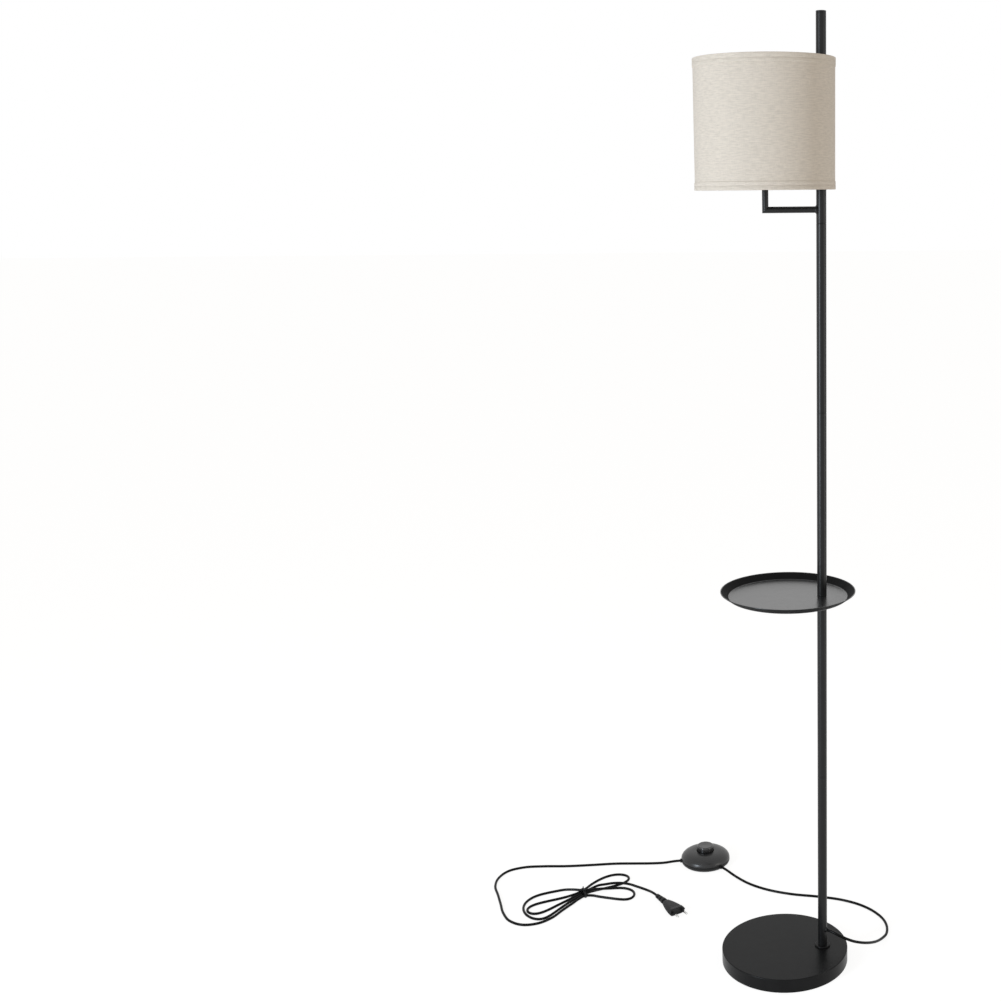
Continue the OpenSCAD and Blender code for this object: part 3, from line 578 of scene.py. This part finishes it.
LEAD = [
    EXIT, EXIT + STUB * EXIT_WAY, (0.0938, -0.017, 0.0544), (0.1074, -0.0192, 0.0484),
    (0.1205, -0.0167, 0.0418), (0.1323, -0.01, 0.0354), (0.1423, -0.001, 0.0292),
    (0.151, 0.0095, 0.0232), (0.1585, 0.021, 0.0174), (0.1654, 0.0328, 0.0122),
    (0.172, 0.045, 0.008), (0.1784, 0.0574, 0.005), (0.185, 0.071, 0.0032), (0.189, 0.093, LAY),
    (0.186, 0.121, LAY), (0.171, 0.152, LAY), (0.146, 0.179, LAY), (0.11, 0.2, LAY),
    (0.066, 0.213, LAY), (0.013, 0.224, LAY), (-0.035, 0.243, LAY), (-0.07, 0.267, 0.0028),
    (-0.097, 0.295, 0.0038), SWITCH_IN + STRAIGHT * WAY_IN, SWITCH_IN]
MAINS_START = [
    SWITCH_OUT, SWITCH_OUT + STRAIGHT * WAY_OUT, (-0.244, 0.353, 0.0042), (-0.268, 0.3535, 0.0029),
    (-0.3, 0.354, LAY), (-0.34, 0.354, LAY), (-0.39, 0.349, LAY), (-0.44, 0.345, LAY),
    (-0.488, 0.345, LAY), (-0.526, 0.341, LAY), (-0.554, 0.326, LAY), (-0.568, 0.298, LAY),
    (-0.568, 0.264, LAY), (-0.556, 0.23, LAY), (-0.544, 0.195, LAY), (-0.532, 0.16, LAY),
    (-0.513, 0.13, LAY), (-0.488, 0.117, LAY), (-0.46, 0.122, LAY), (-0.438, 0.141, LAY)]
MAINS_END = [
    (-0.351, 0.2573, 0.0087), (-0.3358, 0.2617, 0.0087), (-0.32, 0.262, 0.0086),
    (-0.304, 0.2595, 0.0074), (-0.288, 0.2545, 0.0046), (-0.2715, 0.2465, 0.0029),
    PLUG_IN - STRAIGHT * PLUG_WAY, PLUG_IN]

# The hank: six lobes in turn, left and right of the tie. A lobe is a loop that starts at the tie
# at 0 degrees, has its tip at 90 and is back at 180. The first and last are only the ends of one.
TIE = Vector((-0.39, 0.232, 0))
TIE_TURN = math.radians(25)
TIE_THICK, TIE_GAP, FLOOR_GAP = 0.0011, 0.0004, 0.0001
LOBE_SIDE = [-1, 1, -1, 1, -1, 1]
LOBE_REACH = [0.17, 0.0995, 0.1255, 0.104, 0.118, 0.12]
LOBE_WIDTH = [0, 0.0215, 0.038, 0.0195, 0.0165, 0]
LOBE_TILT = [48, -29, 16, 16.5, 10.7, 8]  # degrees, at the tip
LOBE_BEND = [29, -24, 27, -3, 0, 0]  # degrees that the tilt gains from the tie to the tip
LOBE_FROM = [158, 0, 0, 0, 0, 0]
LOBE_TO = [180, 180, 180, 180, 180, 16]
LOBE_STEPS = [4, 24, 24, 24, 24, 3]
LOBE_FULL = [1.2, 1.2, 1.2, 1.2, 2.2, 1.2]  # the more, the nearer to its tip a lobe is widest
# Where each of the five passes goes through the tie, and where it lies just to the left and
# right of it, in strand pitches
PASS_MID = [-1.12, -0.48, -0.6, 1.2, 0.56]
PASS_LEFT = [-2.37, 1.54, -1.1, 1.06, -0.23]
PASS_RIGHT = [-2.15, -1.23, 0.27, 2.14, 0.73]
BESIDE = 0.025  # how far from the tie a pass has come to its place beside it
# Passes that cross others: one lies on them and comes down outside, the last climbs at the right
TOP_PASS, TOP_END, TOP_DOWN = 1, 0.02, {-1: 0.032, 1: 0.038}
LAST_PASS, CLIMB_START, CLIMB = 4, 0.008, 0.018
# The hank rests on the tie's band, and from there comes down to the floor
BAND_HALF, BAND_DOWN = 0.004, 0.026


def ease(x):
    """0 up to x = 0, 1 from x = 1 on and a smooth step between."""
    t = min(max(x, 0), 1)
    return t * t * (3 - 2 * t)


def lobe_point(j, degrees, pitch):
    """A point of lobe j of the hank, in the tie's own frame."""
    s, c = math.sin(math.radians(degrees)), math.cos(math.radians(degrees))
    side, full = LOBE_SIDE[j], LOBE_FULL[j]
    tilt = math.radians(LOBE_TILT[j] + LOBE_BEND[j] * (s - 1))
    x = LOBE_REACH[j] * s
    y = (-LOBE_WIDTH[j] * max(s, 0) ** full * c
         * ((1 + full) / full) ** (full / 2) * math.sqrt(1 + full))
    across = x * math.sin(tilt) + y * math.cos(tilt)
    along = x * math.cos(tilt) - y * math.sin(tilt)
    k = j if degrees > 90 else j - 1
    beside = (PASS_RIGHT if side > 0 else PASS_LEFT)[k]
    shift = (PASS_MID[k] + (beside - PASS_MID[k]) * ease(along / BESIDE)) * pitch * c * c
    lift = 1 - ease((along - TOP_END) / TOP_DOWN[side]) if k == TOP_PASS else 0
    lift += ease((along - CLIMB_START) / CLIMB) if k == LAST_PASS and side > 0 else 0
    raised = (TIE_GAP + TIE_THICK - FLOOR_GAP) * (1 - ease((along - BAND_HALF) / BAND_DOWN))
    return Vector((side * along, side * across + shift, LAY + pitch * lift + raised))


def hank_route(pitch):
    """The hank's points, evened out once so that no bend is sharp."""
    raw = []
    for j, (first, last, steps) in enumerate(zip(LOBE_FROM, LOBE_TO, LOBE_STEPS)):
        raw += [lobe_point(j, first + (last - first) * i / steps, pitch) for i in range(steps)]
    raw.append(lobe_point(len(LOBE_TO) - 1, LOBE_TO[-1], pitch))
    even = [raw[0]] + [(a + 2 * b + c) / 4 for a, b, c in zip(raw, raw[1:], raw[2:])] + [raw[-1]]
    turn = Matrix.Rotation(TIE_TURN, 3, "Z")
    return [TIE + turn @ point for point in even]


def lay_cord(name, route, diameter, material, replaces):
    """A round cord on one smooth spline through the route's points."""
    points = [Vector(p) for p in route]
    curve = bpy.data.curves.new(name, "CURVE")
    curve.dimensions, curve.resolution_u, curve.render_resolution_u = "3D", 6, 6
    curve.bevel_depth, curve.bevel_resolution, curve.use_fill_caps = diameter / 2, 4, True
    spline = curve.splines.new("BEZIER")
    spline.bezier_points.add(len(points) - 1)
    for i, (knot, point) in enumerate(zip(spline.bezier_points, points)):
        back = point - points[i - 1] if i else points[1] - point
        ahead = points[i + 1] - point if i + 1 < len(points) else back
        way = (back.normalized() * ahead.length + ahead.normalized() * back.length).normalized()
        knot.co = point
        knot.handle_left_type = knot.handle_right_type = "FREE"
        knot.handle_left = point - way * back.length / 3
        knot.handle_right = point + way * ahead.length / 3
    cord = bpy.data.objects.new(name, curve)
    bpy.context.scene.collection.objects.link(cord)
    return settle(cord, name, material, replaces=replaces)


class LAMP_OT_cords(bpy.types.Operator):
    """The lead to the foot switch, and the mains cord with its hank on to the plug"""

    bl_idname = "lamp.cords"
    bl_label = "Cords"

    def execute(self, context):
        size, tone = context.scene.lamp_cord, context.scene.lamp_colours
        black = sheath("cord_sheath", tone.sheath)
        lead = lay_cord("lead_cord", LEAD, size.diameter, black, ["cord_to_switch"])
        mains = lay_cord("mains_cord", MAINS_START + hank_route(size.strand_gap) + MAINS_END,
                         size.diameter, black, ["cord_to_hank", "cord_hank", "cord_tail"])
        switch = [name for name in frame["nodes"] if name.startswith("switch_")]
        switch[switch.index("switch_spring")] = "return_spring"
        return {"FINISHED"}


class LAMP_OT_tie(bpy.types.Operator):
    """The narrow band round the hank's waist, with its two twisted ends"""

    bl_idname = "lamp.tie"
    bl_label = "Tie"

    def execute(self, context):
        size, tone = context.scene.lamp_cord, context.scene.lamp_colours
        band = frame["nodes"]["cord_tie"].copy()
        band.data = band.data.copy()
        for key in list(band.keys()):
            del band[key]
        context.scene.collection.objects.link(band)
        select_only(band)
        bpy.ops.object.mode_set(mode="EDIT")
        mend(band)
        harden(band, "BEVEL", width=0.0003, segments=2, limit_method="ANGLE",
               angle_limit=math.radians(50))
        ends = [self.ear(size.ear, side) for side in (-1, 1)]
        for piece in [band, *ends]:
            piece.select_set(True)
        context.view_layer.objects.active = band
        bpy.ops.object.join()
        settle(band, "hank_tie", moulding("tie_band", tone.moulding, 0.36),
               replaces=["cord_tie"], smooth=40)
        return {"FINISHED"}

    def ear(self, reach, side):
        """A flat end of the tie, twisted, on the top of the band at one side."""
        foot = Vector((0.0, side * 0.003 - 0.001, 0.0134))
        onward, upward, twist = Vector((0.0004, side * reach * 0.24, 0)), reach * 0.07, 22
        strip = start(bpy.ops.mesh.primitive_cube_add, size=1, location=foot,
                      scale=(0.0024, 0.0008, 0.0014))
        for step in range(4):
            end = 0.0003 + step * reach * 0.22
            pick(strip, "FACE", lambda spot: side * (spot.y - foot.y) > end)
            bpy.ops.mesh.extrude_region_move(TRANSFORM_OT_translate={
                "value": (onward.x, onward.y, upward)})
            bpy.ops.transform.rotate(value=math.radians(twist), orient_axis="Z",
                                     center_override=foot + onward * (step + 1))
            bpy.ops.transform.resize(value=(0.86, 0.9, 1))
        mend(strip)
        strip.matrix_world = Matrix.Translation(TIE) @ Matrix.Rotation(TIE_TURN, 4, "Z")
        select_only(strip)
        bpy.ops.object.transform_apply(location=True, rotation=True, scale=True)
        return strip


class LAMP_OT_plug(bpy.types.Operator):
    """The flat plug: a ringed sleeve that runs into a body with a lipped, flat face"""

    bl_idname = "lamp.plug"
    bl_label = "Plug"

    def execute(self, context):
        size, tone = context.scene.lamp_plug, context.scene.lamp_colours
        stations = self.stations(size)
        tail = -(size.body + size.relief)
        body = start(bpy.ops.mesh.primitive_circle_add, vertices=48, radius=0.003,
                     location=(0, 0, tail))
        for z, *_ in stations[1:]:
            pick(body, "VERT", lambda spot: spot.z > tail - SAME_PLACE)
            bpy.ops.mesh.extrude_edges_move(TRANSFORM_OT_translate={"value": (0, 0, z - tail)})
            tail = z
        self.shape_rings(body, stations)
        for end in (stations[0][0], stations[-1][0]):
            pick(body, "VERT", lambda spot: abs(spot.z - end) < SAME_PLACE)
            bpy.ops.mesh.edge_face_add()
        lip, sink = 0.0012, 0.0004
        pick(body, "FACE", lambda spot: spot.z > -SAME_PLACE)
        bpy.ops.mesh.inset(thickness=lip)
        bpy.ops.mesh.extrude_region_move(TRANSFORM_OT_translate={"value": (0, 0, -sink)})
        mend(body)
        harden(body, "BEVEL", width=0.00025, segments=2, limit_method="ANGLE",
               angle_limit=math.radians(35))
        side = Vector((-PLUG_WAY.y, PLUG_WAY.x, 0))
        body.matrix_world = (Matrix.Translation(PLUG_FACE)
                             @ Matrix((side, Vector((0, 0, -1)), PLUG_WAY)).transposed().to_4x4())
        settle(body, "plug_moulding", moulding("plug_black", tone.moulding, 0.42, 0.00005),
               replaces=["plug_body"], smooth=32)
        give(moulding("pin_sleeve", tone.moulding, 0.45), "plug_sleeves")
        give(plated("pin_nickel", (0.66, 0.655, 0.64), 0.16), "plug_pins")
        return {"FINISHED"}

    def stations(self, size):
        """The rings along the axis: place, width, thickness, flatness and squareness of each."""
        tail, long = -(size.body + size.relief), size.body
        rings = [(tail, 0.0062, 0.0062, 0, 2)]
        for k in range(3):
            low, wide = tail + 0.0006 + 0.0098 * k, 0.0088 + 0.0014 * k
            core = 0.0066 + 0.0009 * k
            root = core + 0.0006
            rings += [(low, wide, wide, 0, 2), (low + 0.0068, wide + 0.0007, wide + 0.0004, 0, 2),
                      (low + 0.0069, core, core, 0, 2), (low + 0.0096, root, root, 0, 2)]
        rings += [
            (-long, 0.0128, 0.0104, 0.1, 3), (-long + 0.0006, 0.0158, 0.011, 0.15, 4),
            (-long + 0.004, 0.0178, 0.0116, 0.2, 5), (-long * 0.72, 0.0235, 0.0124, 0.24, 7),
            (-long * 0.45, 0.0298, 0.013, 0.27, 9), (-0.0098, 0.0336, 0.0133, 0.28, 10),
            (-0.0066, 0.0341, 0.0133, 0.28, 11), (-0.0061, size.width, size.thickness, 0.28, 12),
            (-0.0009, size.width, size.thickness, 0.28, 12),
            (0, size.width - 0.0016, size.thickness - 0.0014, 0.28, 12)]
        return rings

    def shape_rings(self, body, stations):
        """Moves the points of each extruded ring onto its own outline."""
        mesh = bmesh.from_edit_mesh(body.data)
        for vert in mesh.verts:
            _, wide, thick, flat, square = min(stations, key=lambda s: abs(s[0] - vert.co.z))
            turn = math.atan2(vert.co.y, vert.co.x)
            x, y = abs(math.cos(turn)), abs(math.sin(turn))
            reach = (y ** square + (x + flat * y) ** square) ** (-1 / square)
            vert.co.x = wide / 2 * reach * math.cos(turn)
            vert.co.y = thick / 2 * reach * math.sin(turn)
        bmesh.update_edit_mesh(body.data)


# ---- Shade ----


def spun(profile, steps, angle):
    """A profile, as points of radius and height, spun round the shade's axis into a surface."""
    centre = (SHADE_AXIS.x, SHADE_AXIS.y, 0)
    first = Vector((centre[0] + profile[0][0], centre[1], profile[0][1]))
    piece = start(bpy.ops.mesh.primitive_plane_add, size=0.001, location=first)
    bpy.ops.mesh.select_all(action="SELECT")
    bpy.ops.mesh.merge(type="CENTER")
    mesh = bmesh.from_edit_mesh(piece.data)
    mesh.verts.ensure_lookup_table()
    mesh.verts[0].co = first
    bmesh.update_edit_mesh(piece.data)
    for (r0, z0), (r1, z1) in zip(profile, profile[1:]):
        bpy.ops.mesh.extrude_vertices_move(
            TRANSFORM_OT_translate={"value": (r1 - r0, 0, z1 - z0)})
    bpy.ops.mesh.select_all(action="SELECT")
    bpy.ops.mesh.spin(steps=steps, angle=angle, center=centre, axis=(0, 0, 1))
    return piece


def lay_out(piece, seam):
    """UV map in metres: round the shade from the seam, and up it."""
    layer = piece.data.uv_layers[0] if piece.data.uv_layers else piece.data.uv_layers.new()
    for face in piece.data.polygons:
        turns = []
        for loop in face.loop_indices:
            spot = piece.data.vertices[piece.data.loops[loop].vertex_index].co - SHADE_AXIS
            turns.append((math.atan2(spot.y, spot.x) - seam) % math.tau)
        if max(turns) - min(turns) > math.pi:
            turns = [t + math.tau if t < math.pi else t for t in turns]
        for loop, turn in zip(face.loop_indices, turns):
            spot = piece.data.vertices[piece.data.loops[loop].vertex_index].co - SHADE_AXIS
            out = math.hypot(spot.x, spot.y) - SHADE_R
            layer.data[loop].uv = (turn * SHADE_R, spot.z + out * 0.5)


class LAMP_OT_shade(bpy.types.Operator):
    """The shade's cloth with its overlap at the back, the folded tapes, liner, wire and clips"""

    bl_idname = "lamp.shade"
    bl_label = "Shade"

    def execute(self, context):
        size, tone = context.scene.lamp_shade, context.scene.lamp_colours
        cloth_look = linen("beige_linen_cloth", tone.linen, tone.slub, size.thread)
        cloth = self.cloth(size, cloth_look)
        trims = [self.tape(size, cloth_look, *which) for which in (
            ("trim_tape_bottom", "shade_trim_bottom", 1), ("trim_tape_top", "shade_trim_top", -1))]
        give(liner_sheet("styrene_liner", tone.liner), "shade_liner")
        give(coated_wire("white_coated_wire", tone.wire), "shade_spider", "shade_ring")
        give(moulding("white_clip", tone.wire, 0.45, 0.00002), "shade_clips")
        return {"FINISHED"}

    def cloth(self, size, look):
        """A strip spun round the liner to a full turn, then on over its own start at the back."""
        gap, rows, seam = 0.0002, 8, size.seam / SHADE_R
        low, high = SHADE_LOW + size.tape + gap, SHADE_HIGH - size.tape - gap
        profile = [(SHADE_R, low + (high - low) * i / rows) for i in range(rows + 1)]
        piece = spun(profile, size.facets, math.tau - seam)
        ramp, looseness = 4, 1.15
        rise = [1 + size.cloth * looseness * min(step, ramp) / ramp / SHADE_R
                for step in range(2 * ramp + 1)]
        for before, after in zip(rise, rise[1:]):
            bpy.ops.mesh.extrude_edges_move()
            self.turn(-seam / ramp)
            bpy.ops.transform.resize(value=(after / before, after / before, 1),
                                     center_override=(SHADE_AXIS.x, SHADE_AXIS.y, 0))
        bpy.ops.mesh.select_all(action="SELECT")
        self.turn(math.pi / 2)
        mend(piece)
        lay_out(piece, math.pi / 2 - seam)
        harden(piece, "SOLIDIFY", thickness=size.cloth, offset=-1)
        return settle(piece, "shade_cloth", look, replaces=["shade_fabric"],
                      smooth=30)

    def turn(self, angle):
        """Turns what is selected round the shade's axis, anticlockwise from above."""
        bpy.ops.transform.rotate(value=-angle, orient_axis="Z", orient_type="GLOBAL",
                                 center_override=(SHADE_AXIS.x, SHADE_AXIS.y, 0))

    def tape(self, size, look, name, node, way):
        """Tape folded over an edge of the shade: a soft fold and a groove between its layers."""
        edge = SHADE_LOW if way > 0 else SHADE_HIGH
        out, skin, within = SHADE_R + size.tape, SHADE_R + 0.00005, LINER_R - 0.00065
        inside, t, w = within - size.tape, size.tape, size.trim
        profile = [
            (out - t * 0.5, 0), (out - t * 0.12, 0.0003), (out, 0.0009), (out, w * 0.5),
            (out - 0.0003, w * 0.52), (out - 0.0003, w * 0.55), (out - 0.00005, w * 0.57),
            (out - 0.00005, w - 0.0008), (out - 0.0003, w - 0.0002), (skin, w), (skin, t),
            (within, t), (within, w - 0.002), (inside + 0.0003, w - 0.0022),
            (inside, w - 0.0028), (inside, 0.0009), (inside + t * 0.12, 0.0003),
            (inside + t * 0.5, 0), (out - t * 0.5, 0)]
        piece = spun([(r, edge + way * z) for r, z in profile], size.facets, math.tau)
        mend(piece)
        lay_out(piece, math.pi / 2)
        return settle(piece, name, look, replaces=[node], smooth=50)


# ---- Finishes of the CAD nodes ----


class LAMP_OT_metalwork(bpy.types.Operator):
    """Powder coat on base, pole, tray and arm, and the bare parts inside them"""

    bl_idname = "lamp.metalwork"
    bl_label = "Metalwork"

    def execute(self, context):
        tone = context.scene.lamp_colours
        give(powder_coat("powder_coat", tone.powder), *nodes_of("black_powder"))
        give(powder_coat("base_powder_coat", tone.powder, 0.12), "base_cover", "pole_collar")
        shiny = [(TRAY_FLOOR, TRAY_FLOOR + 0.0001), (TRAY_LIP, TRAY_LIP + 0.002)]
        give(powder_coat("tray_powder_coat", tone.powder, 0.06, shiny), "tray")
        give(plated("zinc_plate", (0.5, 0.5, 0.48), 0.3, (1, 1, 0.2)), *nodes_of("zinc_steel"))
        give(casting("cast_weight_iron", (0.16, 0.16, 0.165)), *nodes_of("cast_weight"))
        give(foam("foot_foam", (0.05, 0.05, 0.05)), *nodes_of("base_felt"))
        return {"FINISHED"}


class LAMP_OT_lampholder(bpy.types.Operator):
    """Lampholder, its contacts, the bulb and the lead inside the lamp"""

    bl_idname = "lamp.lampholder"
    bl_label = "Lampholder"

    def execute(self, context):
        tone = context.scene.lamp_colours
        give(moulding("holder_black", tone.moulding, 0.42), *nodes_of("holder_plastic"))
        give(ceramic("insulating_block", (0.76, 0.72, 0.62)), *nodes_of("steatite"))
        give(plated("stamped_brass", (0.66, 0.46, 0.19), 0.24), *nodes_of("contact_brass"))
        give(plated("rolled_cap", (0.68, 0.68, 0.67), 0.24, (1, 1, 6)), *nodes_of("cap_alloy"))
        give(opal("opal_glass_bulb"), *nodes_of("opal_glass"))
        give(sheath("white_sheath", (0.72, 0.7, 0.64), 0.4), *nodes_of("white_cable"))
        return {"FINISHED"}


class LAMP_OT_foot_switch(bpy.types.Operator):
    """Foot switch: satin cover, matter base, glossy button, and the block and spring inside"""

    bl_idname = "lamp.foot_switch"
    bl_label = "Foot switch"

    def execute(self, context):
        tone = context.scene.lamp_colours
        give(moulding("switch_gloss", tone.moulding, 0.32, 0.00001, 0.55), "switch_cover")
        give(moulding("switch_matt", tone.moulding, 0.4), "switch_base")
        give(moulding("switch_button_gloss", tone.moulding, 0.2, 0.00001, 0.8), "switch_button")
        give(moulding("switch_block", (0.09, 0.09, 0.095), 0.5), *nodes_of("module_grey"))
        self.spring()
        return {"FINISHED"}

    def spring(self):
        """The return spring: a coil of round wire, spun up from one circle and closed at its ends.
        """
        low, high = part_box("switch_spring")
        wire, turns = 0.0005, 6
        coil = start(bpy.ops.mesh.primitive_circle_add, vertices=10, radius=wire,
                     location=(half_width("switch_spring") - wire, 0, low.z + wire),
                     rotation=(math.pi / 2, 0, 0))
        bpy.ops.object.mode_set(mode="OBJECT")
        harden(coil, "SCREW", screw_offset=(high.z - low.z - 2 * wire) / turns, iterations=turns,
               steps=24, render_steps=24)
        bpy.ops.object.mode_set(mode="EDIT")
        bpy.ops.mesh.select_all(action="SELECT")
        bpy.ops.mesh.fill_holes(sides=0)
        bpy.ops.mesh.select_all(action="SELECT")
        bpy.ops.transform.translate(value=SWITCH_AT)
        mend(coil)
        settle(coil, "return_spring", plated("spring_steel", (0.5, 0.5, 0.48), 0.3),
               replaces=["switch_spring"], smooth=50)
        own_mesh(coil)


# ---- Panel and registration ----


OPERATORS = (LAMP_OT_stage, LAMP_OT_plug, LAMP_OT_tie, LAMP_OT_foot_switch, LAMP_OT_cords,
             LAMP_OT_shade, LAMP_OT_metalwork, LAMP_OT_lampholder)
SETTINGS = {"lamp_studio": StudioSettings, "lamp_cord": CordSizes, "lamp_plug": PlugSizes,
            "lamp_shade": ShadeSizes, "lamp_colours": Colours}


class LAMP_PT_panel(bpy.types.Panel):
    """Sizes, colours and making of the floor lamp"""

    bl_idname = "LAMP_PT_panel"
    bl_label = "Floor lamp"
    bl_space_type = "VIEW_3D"
    bl_region_type = "UI"
    bl_category = "Floor lamp"

    def draw(self, context):
        for name, group in SETTINGS.items():
            box = self.layout.box()
            for prop in group.__annotations__:
                box.prop(getattr(context.scene, name), prop)
        for operator in OPERATORS:
            self.layout.operator(operator.bl_idname)


def register():
    for group in SETTINGS.values():
        bpy.utils.register_class(group)
    for name, group in SETTINGS.items():
        setattr(bpy.types.Scene, name, PointerProperty(type=group))
    for kind in (*OPERATORS, LAMP_PT_panel):
        bpy.utils.register_class(kind)


def unregister():
    for kind in (LAMP_PT_panel, *reversed(OPERATORS)):
        bpy.utils.unregister_class(kind)
    for name, group in SETTINGS.items():
        delattr(bpy.types.Scene, name)
        bpy.utils.unregister_class(group)


def main():
    register()
    bpy.ops.lamp.stage()
    bpy.ops.lamp.plug()
    bpy.ops.lamp.tie()
    bpy.ops.lamp.foot_switch()
    bpy.ops.lamp.cords()
    bpy.ops.lamp.shade()
    bpy.ops.lamp.metalwork()
    bpy.ops.lamp.lampholder()


if __name__ == "__main__":
    main()
